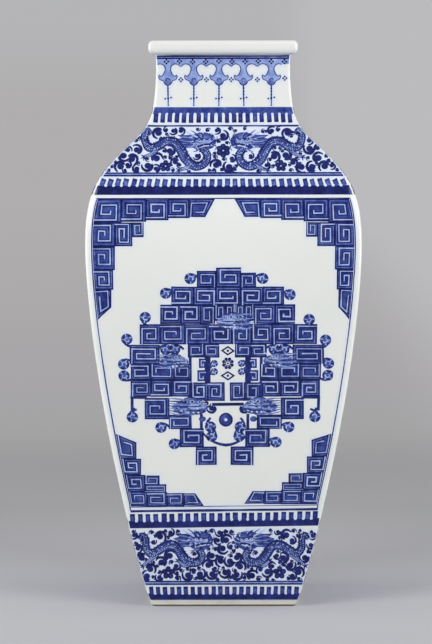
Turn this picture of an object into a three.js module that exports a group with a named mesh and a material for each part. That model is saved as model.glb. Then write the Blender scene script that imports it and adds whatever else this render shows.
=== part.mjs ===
// Square-section baluster vase, built the way slab-built porcelain is built: flat slabs of clay
// are cut with mitred edges, luted together with slip, and stacked as body, shoulder, neck and rim.
// Millimetres, +Z up. The vase stands on z = 0 with its axis on Z, and its front faces -Y.

import * as THREE from 'three';
import { mergeVertices } from 'three/addons/utils/BufferGeometryUtils.js';

// Foot rim: the flat ring that the vase stands on, and the seat of the walls above it.
const footHeight = 9;
const footTopHalf = 60.8;
const footSplay = 5.6;
const footEdgeRound = 3;
const footRimWidth = 13.3;
const footInnerChamfer = 1;

// Heights of the curved stretches of the profile, each stacked on the one below.
const bellyRise = 281;
const creaseRise = 42.5;
const hipRise = 30.8;
const neckRootRise = 40.7;
const neckRise = 34.4;

// Half of the vase's width, face to face, at its widest and where the neck begins, and how far the
// profile has drawn in at the shoulder's crease and at the neck's top. The hip is where the
// shoulder's curve turns hollow, at a share of the way from the neck's root out to the crease.
const bellyHalf = 107.8;
const creaseInset = 6;
const neckRootHalf = 54.5;
const neckTaper = 0.5;
const hipShare = 0.518;

// Slope of the profile (sideways per upwards) where two stretches meet.
const footSlope = 0.28;
const bellySlope = 0;
const creaseSlope = -0.37;
const hipSlope = -1;
const neckRootSlope = -0.1;
const neckTopSlope = 0.15;

// Mouth rim: a thick square lip that overhangs the neck.
const lipHeight = 11.6;
const lipOverhang = 5.1;
const lipUndercut = 5.4;
const lipOuterRound = 3.6;
const lipInnerRound = 2;

// Thickness of the slabs, measured square to their outer face.
const bodyThickness = 7;
const neckThickness = 6;
const baseThickness = 12;

// Rounding of the vertical edges, seen from above. The body's edges are narrow beside the lower
// bands, from the foot up to bandRise above it, and widen over edgeBlend to the panel's edges.
const bandCornerRadius = 2;
const bandRise = 67;
const edgeBlend = 20;
const bodyCornerRadius = 5;
const hipCornerRadius = 1.8;
const neckCornerRadius = 2.5;
const lipCornerRadius = 3;
const innerCornerRadius = 3;

// Luting coils: strips of soft clay pressed into the inner corners of the body.
const coilLeg = 10;
const coilEdge = 1;

// Width of the luting seam that is left between two slabs.
const lutingSeam = 0.3;

// How finely the curves are stepped.
const bodySteps = 13;
const creaseSteps = 5;
const hipSteps = 6;
const neckRootSteps = 9;
const neckSteps = 6;
const cornerSteps = 3;
const edgeSteps = 4;

// Widths that follow from the sizes above.
const footRestHalf = footTopHalf - footSplay;
const footInnerHalf = footTopHalf - footRimWidth;
const creaseHalf = bellyHalf - creaseInset;
const hipHalf = THREE.MathUtils.lerp(neckRootHalf, creaseHalf, hipShare);
const neckTopHalf = neckRootHalf - neckTaper;

const porcelain = { color: 0xe2e4de, roughness: 0.18, metalness: 0 };
const rimGlaze = { color: 0xeaeae8, roughness: 0.16, metalness: 0 };
const bareFoot = { color: 0xbebeb4, roughness: 0.7, metalness: 0 };
const bareClay = { color: 0xd6d0c2, roughness: 0.8, metalness: 0 };

// The profile from the foot's top to the lip's underside. Each stretch is one cubic curve; its
// pulls say how far, as a share of its rise, it follows the slope at its lower and upper end.
const stretches = [
  {
    rise: bellyRise, half: bellyHalf, slope: bellySlope, corner: bodyCornerRadius,
    lowerPull: 0.41, upperPull: 0.17, steps: bodySteps, cornerAt: bodyCornerAt,
  },
  {
    rise: creaseRise, half: creaseHalf, slope: creaseSlope, corner: bodyCornerRadius,
    lowerPull: 0.6, upperPull: 0.17, steps: creaseSteps,
  },
  {
    rise: hipRise, half: hipHalf, slope: hipSlope, corner: hipCornerRadius,
    lowerPull: 0.39, upperPull: 0.24, steps: hipSteps,
  },
  {
    rise: neckRootRise, half: neckRootHalf, slope: neckRootSlope, corner: neckCornerRadius,
    lowerPull: 0.31, upperPull: 0.57, steps: neckRootSteps,
  },
  {
    rise: neckRise, half: neckTopHalf, slope: neckTopSlope, corner: neckCornerRadius,
    lowerPull: 0.6, upperPull: 0.18, steps: neckSteps,
  },
];

// Rounding of the body's edges at a height.
function bodyCornerAt(height) {
  const middle = footHeight + bandRise;
  const low = middle - edgeBlend / 2;
  const share = THREE.MathUtils.smoothstep(height, low, low + edgeBlend);
  return THREE.MathUtils.lerp(bandCornerRadius, bodyCornerRadius, share);
}

// Stations of one stretch: half-width, height, slope direction and corner radius along its curve.
function stretchStations(lower, stretch) {
  const upper = { ...stretch, height: lower.height + stretch.rise };
  const lowerReach = stretch.rise * stretch.lowerPull;
  const upperReach = stretch.rise * stretch.upperPull;
  const curve = new THREE.CubicBezierCurve(
    new THREE.Vector2(lower.half, lower.height),
    new THREE.Vector2(lower.half + lower.slope * lowerReach, lower.height + lowerReach),
    new THREE.Vector2(upper.half - upper.slope * upperReach, upper.height - upperReach),
    new THREE.Vector2(upper.half, upper.height),
  );
  const stations = [];
  for (let step = 0; step <= stretch.steps; step += 1) {
    const share = step / stretch.steps;
    const point = curve.getPoint(share);
    const blended = THREE.MathUtils.lerp(lower.corner, upper.corner, share);
    stations.push({
      half: point.x,
      height: point.y,
      along: curve.getTangent(share),
      corner: stretch.cornerAt ? stretch.cornerAt(point.y) : blended,
    });
  }
  return { stations, upper };
}

// Stations of several stretches in a row, with each shared end kept once.
function joinStations(runs) {
  return runs.flatMap((run, index) => (index === 0 ? run : run.slice(1)));
}

// The slab's stations, drawn in at both ends by half a luting seam, each with its inner point.
function slabStations(stations, thickness, level) {
  const slab = stations.map((station) => ({ ...station }));
  const ends = [[slab[0], 1], [slab[slab.length - 1], -1]];
  for (const [end, direction] of ends) {
    end.half += end.along.x * direction * lutingSeam / 2;
    end.height += end.along.y * direction * lutingSeam / 2;
  }
  for (const station of slab) {
    station.innerHalf = station.half - station.along.y * thickness;
    station.innerHeight = station.height + station.along.x * thickness;
  }
  for (const end of level.map((name) => (name === 'bottom' ? slab[0] : slab[slab.length - 1]))) {
    const drop = end.height - end.innerHeight;
    end.innerHalf += drop * end.along.x / end.along.y;
    end.innerHeight = end.height;
  }
  return slab;
}

// Front edge of a rounded square from its left mitre to its right mitre, half a seam clear of both.
function mitredEdge(half, radius, height) {
  const centre = half - radius;
  const mitre = Math.PI / 4 + Math.asin(lutingSeam / 2 / radius);
  const quarter = [];
  for (let step = 0; step <= cornerSteps; step += 1) {
    const angle = THREE.MathUtils.lerp(mitre, Math.PI / 2, step / cornerSteps);
    quarter.push([centre + radius * Math.cos(angle), -(centre + radius * Math.sin(angle))]);
  }
  const left = quarter.map(([x, y]) => new THREE.Vector3(-x, y, height));
  const right = quarter.map(([x, y]) => new THREE.Vector3(x, y, height));
  return [...left, ...right.reverse()];
}

// Whole outline of a rounded square, anticlockwise from above.
function squareLoop(half, radius, height) {
  const centre = half - radius;
  const loop = [];
  for (let corner = 0; corner < 4; corner += 1) {
    const middle = new THREE.Vector2(centre, centre);
    middle.rotateAround(new THREE.Vector2(), corner * Math.PI / 2);
    for (let step = 0; step <= cornerSteps * 2; step += 1) {
      const angle = (corner + step / (cornerSteps * 2)) * Math.PI / 2;
      const x = middle.x + radius * Math.cos(angle);
      const y = middle.y + radius * Math.sin(angle);
      loop.push(new THREE.Vector3(x, y, height));
    }
  }
  return loop;
}

// A closed geometry from triangles given as corner points.
function solidOf(triangles) {
  const geometry = new THREE.BufferGeometry().setFromPoints(triangles.flat());
  return mergeVertices(geometry, 0.0001);
}

// Triangles between two loops of as many points, the first below or inside the second.
function strip(lower, upper, wrap) {
  const triangles = [];
  const spans = wrap ? lower.length : lower.length - 1;
  for (let index = 0; index < spans; index += 1) {
    const next = (index + 1) % lower.length;
    triangles.push([lower[index], lower[next], upper[next]]);
    triangles.push([lower[index], upper[next], upper[index]]);
  }
  return triangles;
}

// A fan over a convex loop that faces up, or down where the loop is turned round.
function fan(loop) {
  const triangles = [];
  for (let index = 1; index + 1 < loop.length; index += 1) {
    triangles.push([loop[0], loop[index], loop[index + 1]]);
  }
  return triangles;
}

// One wall slab of the front: outer face, inner face, mitred edges and ends.
function wallGeometry(slab) {
  const outer = slab.map((station) => mitredEdge(station.half, station.corner, station.height));
  const inner = slab.map((station) => (
    mitredEdge(station.innerHalf, innerCornerRadius, station.innerHeight)
  ));
  const triangles = [];
  for (let level = 0; level + 1 < slab.length; level += 1) {
    const lower = [...outer[level], ...[...inner[level]].reverse()];
    const upper = [...outer[level + 1], ...[...inner[level + 1]].reverse()];
    triangles.push(...strip(lower, upper, true));
  }
  const top = slab.length - 1;
  triangles.push(...strip(inner[0], outer[0], false));
  triangles.push(...strip(outer[top], inner[top], false));
  return solidOf(triangles);
}

// A square ring swept from a closed section of [half-width, height, corner radius] points, which
// runs up the outside and down the inside.
function ringGeometry(section) {
  const loops = section.map(([half, height, radius]) => squareLoop(half, radius, height));
  const triangles = [];
  loops.forEach((loop, index) => {
    triangles.push(...strip(loop, loops[(index + 1) % loops.length], true));
  });
  return solidOf(triangles);
}

// Points of a quarter arc in a section, from one angle to another about a centre.
function sectionArc(centreHalf, centreHeight, radiusHalf, radiusHeight, from, to, corner) {
  const points = [];
  for (let step = 0; step <= edgeSteps; step += 1) {
    const angle = THREE.MathUtils.lerp(from, to, step / edgeSteps);
    points.push([
      centreHalf + radiusHalf * Math.cos(angle),
      centreHeight + radiusHeight * Math.sin(angle),
      corner,
    ]);
  }
  return points;
}

// The foot rim: rounded outside to the resting ring, chamfered inside.
function footRimGeometry() {
  const quarter = Math.PI / 2;
  return ringGeometry([
    [footInnerHalf + footInnerChamfer, 0, innerCornerRadius],
    ...sectionArc(
      footRestHalf, footEdgeRound, footEdgeRound, footEdgeRound, -quarter, 0, bandCornerRadius,
    ),
    [footTopHalf, footHeight, bandCornerRadius],
    [footInnerHalf, footHeight, innerCornerRadius],
    [footInnerHalf, footInnerChamfer, innerCornerRadius],
  ]);
}

// The mouth rim: hollowed below, rounded above, flat on top, on the neck's walls.
function mouthRimGeometry(bottom, mouthHalf) {
  const quarter = Math.PI / 2;
  const top = bottom + lipHeight - lutingSeam / 2;
  const outerRoundHalf = neckTopHalf + lipOverhang - lipOuterRound;
  return ringGeometry([
    [mouthHalf, bottom, innerCornerRadius],
    [neckTopHalf, bottom, neckCornerRadius],
    ...sectionArc(
      neckTopHalf, bottom + lipUndercut, lipOverhang, lipUndercut, -quarter / 2, 0,
      lipCornerRadius,
    ),
    ...sectionArc(
      outerRoundHalf, top - lipOuterRound, lipOuterRound, lipOuterRound, 0, quarter,
      lipCornerRadius,
    ),
    ...sectionArc(
      mouthHalf + lipInnerRound, top - lipInnerRound, lipInnerRound, lipInnerRound,
      quarter, 2 * quarter, innerCornerRadius,
    ),
  ]);
}

// The body wall's inner face at a height: its half-width between the two nearest stations.
function innerHalfAt(slab, height) {
  const above = Math.max(1, slab.findIndex((station) => station.innerHeight >= height));
  const lower = slab[above - 1];
  const upper = slab[above];
  const share = (height - lower.innerHeight) / (upper.innerHeight - lower.innerHeight);
  return THREE.MathUtils.lerp(lower.innerHalf, upper.innerHalf, share);
}

// The base slab: a square tile on the foot rim, let in between the walls.
function baseSlabGeometry(slab, bottom) {
  const heights = [bottom, bottom + baseThickness];
  const inside = slab.filter((station) => (
    station.innerHeight > heights[0] && station.innerHeight < heights[1]
  ));
  const levels = [heights[0], ...inside.map((station) => station.innerHeight), heights[1]];
  const loops = levels.map((height) => (
    squareLoop(innerHalfAt(slab, height) - lutingSeam, innerCornerRadius, height)
  ));
  const triangles = [...fan([...loops[0]].reverse()), ...fan(loops[loops.length - 1])];
  for (let level = 0; level + 1 < loops.length; level += 1) {
    triangles.push(...strip(loops[level], loops[level + 1], true));
  }
  return solidOf(triangles);
}

// Section of the luting coil in the corner at +X -Y: two legs on the walls and a hollow face.
function coilLoop(wallHalf, height) {
  const outer = wallHalf - lutingSeam;
  const loop = [new THREE.Vector3(outer - coilLeg, coilEdge - outer, height)];
  loop.push(new THREE.Vector3(outer - coilLeg, -outer, height));
  for (let step = 0; step <= cornerSteps; step += 1) {
    const angle = (step / cornerSteps - 1) * Math.PI / 2;
    const x = outer - innerCornerRadius * (1 - Math.cos(angle));
    const y = innerCornerRadius * (1 + Math.sin(angle)) - outer;
    loop.push(new THREE.Vector3(x, y, height));
  }
  loop.push(new THREE.Vector3(outer, coilLeg - outer, height));
  for (let step = 0; step < edgeSteps; step += 1) {
    const angle = -(step / edgeSteps) * Math.PI / 2;
    const hollow = coilLeg - coilEdge;
    const x = outer - coilLeg + hollow * Math.cos(angle);
    const y = coilLeg - outer + hollow * Math.sin(angle);
    loop.push(new THREE.Vector3(x, y, height));
  }
  return loop;
}

// Triangles over a coil's end, which is hollow, so it is not a plain fan.
function coilEnd(loop, up) {
  const outline = loop.map((point) => new THREE.Vector2(point.x, point.y));
  const faces = THREE.ShapeUtils.triangulateShape(outline, []);
  return faces.map((face) => {
    const corners = face.map((index) => loop[index]);
    return up ? corners : corners.reverse();
  });
}

// A luting coil along a body corner, from the base slab to the top of the walls.
function coilGeometry(slab, bottom) {
  const top = slab[slab.length - 1].innerHeight - lutingSeam;
  const between = slab.filter((station) => (
    station.innerHeight > bottom && station.innerHeight < top
  ));
  const levels = [bottom, ...between.map((station) => station.innerHeight), top];
  const loops = levels.map((height) => coilLoop(innerHalfAt(slab, height), height));
  const triangles = [...coilEnd(loops[0], false), ...coilEnd(loops[loops.length - 1], true)];
  for (let level = 0; level + 1 < loops.length; level += 1) {
    triangles.push(...strip(loops[level], loops[level + 1], true));
  }
  return solidOf(triangles);
}

const vase = new THREE.Group();
vase.name = 'square_baluster_vase';

function addPiece(name, geometry, finish, turns = 0) {
  const mesh = new THREE.Mesh(geometry, new THREE.MeshStandardMaterial(finish));
  mesh.name = name;
  mesh.rotation.z = turns * Math.PI / 2;
  vase.add(mesh);
}

// The stations of every stretch, from the foot upwards.
let seat = { half: footTopHalf, height: footHeight, slope: footSlope, corner: bandCornerRadius };
const runs = stretches.map((stretch) => {
  const run = stretchStations(seat, stretch);
  seat = run.upper;
  return run.stations;
});
const bodySlab = slabStations(joinStations(runs.slice(0, 2)), bodyThickness, ['bottom']);
const shoulderSlab = slabStations(joinStations(runs.slice(2, 4)), bodyThickness, []);
const neckSlab = slabStations(runs[4], neckThickness, ['top']);

const baseBottom = footHeight + lutingSeam;
const coilBottom = baseBottom + baseThickness + lutingSeam;
const mouthBottom = seat.height + lutingSeam / 2;
const mouthHalf = neckSlab[neckSlab.length - 1].innerHalf;
const sides = ['front', 'right', 'back', 'left'];
const corners = ['front_right', 'back_right', 'back_left', 'front_left'];

addPiece('foot_rim', footRimGeometry(), bareFoot);
addPiece('base_slab', baseSlabGeometry(bodySlab, baseBottom), bareClay);
sides.forEach((side, turns) => {
  addPiece(`body_wall_${side}`, wallGeometry(bodySlab), porcelain, turns);
});
corners.forEach((corner, turns) => {
  addPiece(`luting_coil_${corner}`, coilGeometry(bodySlab, coilBottom), bareClay, turns);
});
sides.forEach((side, turns) => {
  addPiece(`shoulder_slab_${side}`, wallGeometry(shoulderSlab), porcelain, turns);
});
sides.forEach((side, turns) => {
  addPiece(`neck_wall_${side}`, wallGeometry(neckSlab), porcelain, turns);
});
addPiece('mouth_rim', mouthRimGeometry(mouthBottom, mouthHalf), rimGlaze);

export default vase;
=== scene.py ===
"""Looks of the square baluster vase: glazed porcelain slabs painted in cobalt blue, in a grey studio."""

import logging
import math
import random
from collections.abc import Sequence
from dataclasses import dataclass, field
from enum import Enum

import bmesh
import bpy
import numpy as np
from mathutils import Matrix, Vector, kdtree

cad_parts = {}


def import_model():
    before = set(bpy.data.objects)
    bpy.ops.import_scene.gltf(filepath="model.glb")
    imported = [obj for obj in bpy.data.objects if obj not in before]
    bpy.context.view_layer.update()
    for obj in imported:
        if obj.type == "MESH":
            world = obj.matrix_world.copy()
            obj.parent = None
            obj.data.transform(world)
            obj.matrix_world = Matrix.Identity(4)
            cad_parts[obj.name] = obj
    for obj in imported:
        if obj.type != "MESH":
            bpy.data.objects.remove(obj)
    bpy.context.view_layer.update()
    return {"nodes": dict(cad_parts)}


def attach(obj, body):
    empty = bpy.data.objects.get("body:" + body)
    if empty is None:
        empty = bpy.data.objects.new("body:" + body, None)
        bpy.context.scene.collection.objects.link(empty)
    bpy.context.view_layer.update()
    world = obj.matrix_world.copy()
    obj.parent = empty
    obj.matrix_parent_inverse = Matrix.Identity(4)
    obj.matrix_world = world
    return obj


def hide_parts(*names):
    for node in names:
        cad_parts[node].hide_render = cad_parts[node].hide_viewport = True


LOG = logging.getLogger("vase")
MM = 0.001
SIDES = ("front", "right", "back", "left")
Point = tuple[float, float]
Row = tuple[float, float, float]
Spot = tuple[float, float, float, int]
Four = tuple[float, float, float, float]
Colour = tuple[int, int, int]
Tree = bpy.types.NodeTree
Node = bpy.types.Node
Socket = bpy.types.NodeSocket
Material = bpy.types.Material
Piece = bpy.types.Object


class Tone(float, Enum):
    """Strength of the cobalt, from the bare ground to the darkest line."""

    RESERVE = 0.0
    PALE = 0.2
    WASH = 0.36
    MID = 0.58
    DEEP = 0.8
    DARK = 1.0


class Layer(Enum):
    """Order in which the brush lays its strokes over each other."""

    GROUND = 0
    WASH = 1
    STROKE = 2
    LINE = 3
    DETAIL = 4
    ACCENT = 5
    TOP = 6


def linear(colour: Colour) -> Four:
    """Turns a screen colour of levels from 0 to 255 into the linear values that shaders take."""
    values = [level / 255 for level in colour]
    return (*(v / 12.92 if v <= 0.04045 else ((v + 0.055) / 1.055) ** 2.4 for v in values), 1.0)


def smoothstep(share: float) -> float:
    """Eases a share softly from 0 to 1 and holds it outside."""
    share = min(max(share, 0.0), 1.0)
    return share * share * (3 - 2 * share)


def quarter_turn(side: int) -> Matrix:
    """Turn from the front to another side of the vase."""
    return Matrix.Rotation(side * math.pi / 2, 3, "Z")


def polar(centre: Point, radius: float, bearing: float) -> Point:
    """Point at a distance from a centre, in the direction of a bearing in radians."""
    return centre[0] + radius * math.cos(bearing), centre[1] + radius * math.sin(bearing)


def smooth_path(points: Sequence[Point], steps: int = 5) -> list[Point]:
    """Runs a smooth curve through a few points.

    Args:
        points: Points that the curve passes through.
        steps: Spans between two of them.

    Returns:
        The curve's points.
    """
    knots = [np.array(point, dtype=float) for point in points]
    knots = [2 * knots[0] - knots[1], *knots, 2 * knots[-1] - knots[-2]]
    curve = []
    for index in range(1, len(knots) - 2):
        before, here, there, after = knots[index - 1:index + 3]
        for step in range(steps):
            t = step / steps
            bend = 2 * before - 5 * here + 4 * there - after
            twist = 3 * here - before - 3 * there + after
            place = here + 0.5 * t * ((there - before) + t * (bend + t * twist))
            curve.append((float(place[0]), float(place[1])))
    curve.append((float(knots[-2][0]), float(knots[-2][1])))
    return curve


def arc_path(centre: Point, radius: float, start: float, end: float, steps: int = 8) -> list[Point]:
    """Points of an arc between two angles in degrees, with 0 to the right and 90 up."""
    angles = [math.radians(start + (end - start) * step / steps) for step in range(steps + 1)]
    return [polar(centre, radius, angle) for angle in angles]


@dataclass(frozen=True)
class Stretch:
    """One curved stretch of the profile, in millimetres, stacked on the one below."""

    rise: float
    half: float
    slope: float
    corner: float
    lower_pull: float
    upper_pull: float


@dataclass
class Profile:
    """The vase's upright profile: half-width, slope and edge rounding at each height."""

    foot_height: float = 9.0
    foot_top_half: float = 60.8
    foot_splay: float = 5.6
    foot_edge_round: float = 3.0
    foot_slope: float = 0.28
    band_corner: float = 2.0
    band_rise: float = 67.0
    edge_blend: float = 20.0
    edge_turn: float = 0.75
    stretches: tuple[Stretch, ...] = (
        Stretch(281.0, 107.8, 0.0, 5.0, 0.41, 0.17),
        Stretch(42.5, 101.8, -0.37, 5.0, 0.6, 0.17),
        Stretch(30.8, 79.0014, -1.0, 1.8, 0.39, 0.24),
        Stretch(40.7, 54.5, -0.1, 2.5, 0.31, 0.57),
        Stretch(34.4, 54.0, 0.15, 2.5, 0.6, 0.18),
    )
    fineness: int = 60
    heights: np.ndarray = field(init=False)
    halves: np.ndarray = field(init=False)
    slopes: np.ndarray = field(init=False)
    corners: np.ndarray = field(init=False)

    def __post_init__(self) -> None:
        """Samples the curves once."""
        rows = [self._foot_row(height) for height in np.linspace(0.0, self.foot_height, 25)[:-1]]
        lower = Stretch(0.0, self.foot_top_half, self.foot_slope, self.band_corner, 0.0, 0.0)
        base = self.foot_height
        for index, upper in enumerate(self.stretches):
            rows.extend(self._stretch_rows(base, lower, upper, index == 0))
            base += upper.rise
            lower = upper
        table = np.array(rows)
        self.heights, self.halves, self.slopes, self.corners = table.T

    def _foot_row(self, height: float) -> Four:
        """Profile of the foot rim's outer face.

        Args:
            height: Height above the ground.

        Returns:
            Height, half-width, slope and edge rounding.
        """
        rest_half = self.foot_top_half - self.foot_splay
        full = rest_half + self.foot_edge_round
        if height >= self.foot_edge_round:
            slope = (self.foot_top_half - full) / (self.foot_height - self.foot_edge_round)
            return height, full + slope * (height - self.foot_edge_round), slope, self.band_corner
        sunk = 1 - height / self.foot_edge_round
        reach = math.sqrt(1 - sunk * sunk)
        slope = sunk / max(reach, 0.15)
        return height, rest_half + self.foot_edge_round * reach, slope, self.band_corner

    def _stretch_rows(
        self, base: float, lower: Stretch, upper: Stretch, blended: bool
    ) -> list[Four]:
        """Samples one stretch.

        Args:
            base: Height at which it starts.
            lower: The stretch below, whose half-width, slope and rounding it takes over.
            upper: The stretch itself.
            blended: Whether its edge rounding follows the blend beside the lower bands.

        Returns:
            Rows of height, half-width, slope and edge rounding.
        """
        low_reach = upper.rise * upper.lower_pull
        high_reach = upper.rise * upper.upper_pull
        halves = (
            lower.half, lower.half + lower.slope * low_reach,
            upper.half - upper.slope * high_reach, upper.half,
        )
        heights = (base, base + low_reach, base + upper.rise - high_reach, base + upper.rise)
        rows = []
        for step in range(self.fineness + (upper is self.stretches[-1])):
            t = step / self.fineness
            weights = ((1 - t) ** 3, 3 * t * (1 - t) ** 2, 3 * t * t * (1 - t), t ** 3)
            half = sum(w * h for w, h in zip(weights, halves))
            height = sum(w * h for w, h in zip(weights, heights))
            speed = ((1 - t) ** 2, 2 * t * (1 - t), t * t)
            run = sum(w * (b - a) for w, a, b in zip(speed, halves, halves[1:]))
            climb = sum(w * (b - a) for w, a, b in zip(speed, heights, heights[1:]))
            corner = lower.corner + (upper.corner - lower.corner) * t
            if blended:
                corner = self._band_corner_at(height, upper.corner)
            rows.append((height, half, run / climb, corner))
        return rows

    def _band_corner_at(self, height: float, full: float) -> float:
        """Edge rounding at a height, from the lower bands' own up to the panel's full one."""
        low = self.foot_height + self.band_rise - self.edge_blend / 2
        return self.band_corner + (full - self.band_corner) * smoothstep((height - low) / self.edge_blend)

    def half(self, height: float) -> float:
        """Half-width at a height."""
        return float(np.interp(height, self.heights, self.halves))

    def slope(self, height: float) -> float:
        """Sideways run per upward step at a height."""
        return float(np.interp(height, self.heights, self.slopes))

    def corner(self, height: float) -> float:
        """Rounding of the upright edges at a height."""
        return float(np.interp(height, self.heights, self.corners))

    def edge(self, height: float) -> float:
        """Half-width of the flat part of a side, where painting ends."""
        return self.half(height) - self.corner(height)

    def levels(self, low: float, high: float, deviation: float, longest: float) -> list[float]:
        """Heights at which a straight-sided mesh has to bend to follow the profile.

        Args:
            low: Lowest height.
            high: Highest height.
            deviation: How far a straight span may lie off the curve.
            longest: Longest span.

        Returns:
            Heights from low to high.
        """
        levels = [low]
        while levels[-1] < high:
            here = levels[-1]
            turn = abs(self.slope(here + 0.5) - self.slope(here - 0.5)) + 1e-6
            span = min(longest, max(0.8, math.sqrt(8 * deviation / turn)))
            levels.append(here + span)
        count = len(levels) - 1
        spare = (levels[-1] - high) / count
        return [level - spare * index for index, level in enumerate(levels)]

    def place(self, across: float, height: float, lift: float) -> Vector:
        """Puts a point of the front's painting on the surface.

        Args:
            across: Distance from the middle of the side, measured round its edges.
            height: Height above the ground.
            lift: Distance above the surface.

        Returns:
            The point in metres.
        """
        half = self.half(height)
        corner = self.corner(height)
        slope = self.slope(height)
        flat = half - corner
        proud = lift * math.sqrt(1 + slope * slope)
        over = abs(across) - flat
        if over <= 0:
            return Vector((across, -(half + proud), height)) * MM
        angle = min(over / corner, math.pi / 4)
        x = flat + (corner + proud) * math.sin(angle)
        y = flat + (corner + proud) * math.cos(angle)
        return Vector((math.copysign(x, across), -y, height)) * MM

    def normal(self, place: Vector) -> Vector:
        """Direction in which the front's surface faces.

        Args:
            place: A point of the front in millimetres.

        Returns:
            The unit normal.
        """
        over = max(0.0, abs(place.x) - self.edge(place.z)) / self.corner(place.z)
        turn = math.copysign(min(over, self.edge_turn), place.x)
        return Vector((turn, -math.sqrt(1 - turn * turn), -self.slope(place.z))).normalized()


def feed(tree: Tree, entry: Socket, value: float | Four | Socket) -> None:
    """Links an input to another node, or sets it.

    Args:
        tree: The nodes that it belongs to.
        entry: The input.
        value: The socket or value that it takes.
    """
    if isinstance(value, Socket):
        tree.links.new(value, entry)
    else:
        entry.default_value = value


def add_node(tree: Tree, kind: str, **inputs: float | Socket) -> Node:
    """Adds a node and feeds some of its inputs.

    Args:
        tree: The nodes to add it to.
        kind: Its type, without the word ShaderNode.
        inputs: Values or sockets of its inputs, with underscores for spaces.

    Returns:
        The node.
    """
    node = tree.nodes.new("ShaderNode" + kind)
    for name, value in inputs.items():
        feed(tree, node.inputs[name.replace("_", " ")], value)
    return node


def add_sum(tree: Tree, operation: str, *values: float | Socket) -> Socket:
    """Adds one step of arithmetic.

    Args:
        tree: The nodes to add it to.
        operation: Name of the sum.
        values: Its numbers or sockets.

    Returns:
        The result's socket.
    """
    node = add_node(tree, "Math")
    node.operation = operation
    for entry, value in zip(node.inputs, values):
        feed(tree, entry, value)
    return node.outputs[0]


def add_mix(tree: Tree, factor: Socket, first: Colour | Socket, second: Colour | Socket) -> Socket:
    """Adds a blend of two colours.

    Args:
        tree: The nodes to add it to.
        factor: Share of the second colour.
        first: The first colour or its socket.
        second: The second colour or its socket.

    Returns:
        The result's socket.
    """
    mix = add_node(tree, "Mix")
    mix.data_type = "RGBA"
    feed(tree, mix.inputs["Factor"], factor)
    for name, colour in (("A", first), ("B", second)):
        feed(tree, mix.inputs[name], colour if isinstance(colour, Socket) else linear(colour))
    return mix.outputs["Result"]


def add_range(tree: Tree, value: Socket, low: float, high: float, smooth: bool = False) -> Socket:
    """Adds a rise from 0 to 1 between two values.

    Args:
        tree: The nodes to add it to.
        value: What it follows.
        low: Value at which it is 0.
        high: Value at which it is 1.
        smooth: Whether it starts and ends softly.

    Returns:
        The result's socket.
    """
    node = add_node(tree, "MapRange", Value=value, From_Min=low, From_Max=high)
    if smooth:
        node.interpolation_type = "SMOOTHSTEP"
    return node.outputs["Result"]


def add_ramp(tree: Tree, value: Socket, shades: Sequence[tuple[float, Colour]]) -> Socket:
    """Adds a run of colours.

    Args:
        tree: The nodes to add it to.
        value: Place in the run, from 0 to 1.
        shades: Places and the colours there.

    Returns:
        The result's socket.
    """
    ramp = add_node(tree, "ValToRGB", Fac=value)
    marks = ramp.color_ramp.elements
    for index, (position, colour) in enumerate(shades):
        mark = marks[index] if index < 2 else marks.new(position)
        mark.position = position
        mark.color = linear(colour)
    return ramp.outputs["Color"]


def start_group(name: str, inputs: dict[str, str], outputs: dict[str, str]) -> tuple[Tree, Node, Node]:
    """Starts a shader group with its sockets.

    Args:
        name: The group's name.
        inputs: Its inputs and their types.
        outputs: Its outputs and their types.

    Returns:
        The group, its input node and its output node.
    """
    tree = bpy.data.node_groups.new(name, "ShaderNodeTree")
    for way, sockets in (("INPUT", inputs), ("OUTPUT", outputs)):
        for label, kind in sockets.items():
            tree.interface.new_socket(label, in_out=way, socket_type="NodeSocket" + kind)
    return tree, tree.nodes.new("NodeGroupInput"), tree.nodes.new("NodeGroupOutput")


def clouding_group() -> Tree:
    """Shader group that drifts softly between two colours.

    Returns:
        The group, built the first time and found by its name afterwards.
    """
    if "clouding" in bpy.data.node_groups:
        return bpy.data.node_groups["clouding"]
    inputs = {"Colour": "Color", "Tint": "Color", "Scale": "Float", "Amount": "Float"}
    tree, entry, leave = start_group("clouding", inputs, {"Colour": "Color"})
    place = add_node(tree, "TexCoord").outputs["Object"]
    scale = entry.outputs["Scale"]
    cloud = add_node(tree, "TexNoise", Vector=place, Scale=scale, Detail=4.0, Roughness=0.55)
    spread = add_range(tree, cloud.outputs["Fac"], 0.35, 0.68)
    share = add_sum(tree, "MULTIPLY", spread, entry.outputs["Amount"])
    mixed = add_mix(tree, share, entry.outputs["Colour"], entry.outputs["Tint"])
    tree.links.new(mixed, leave.inputs["Colour"])
    return tree


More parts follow.
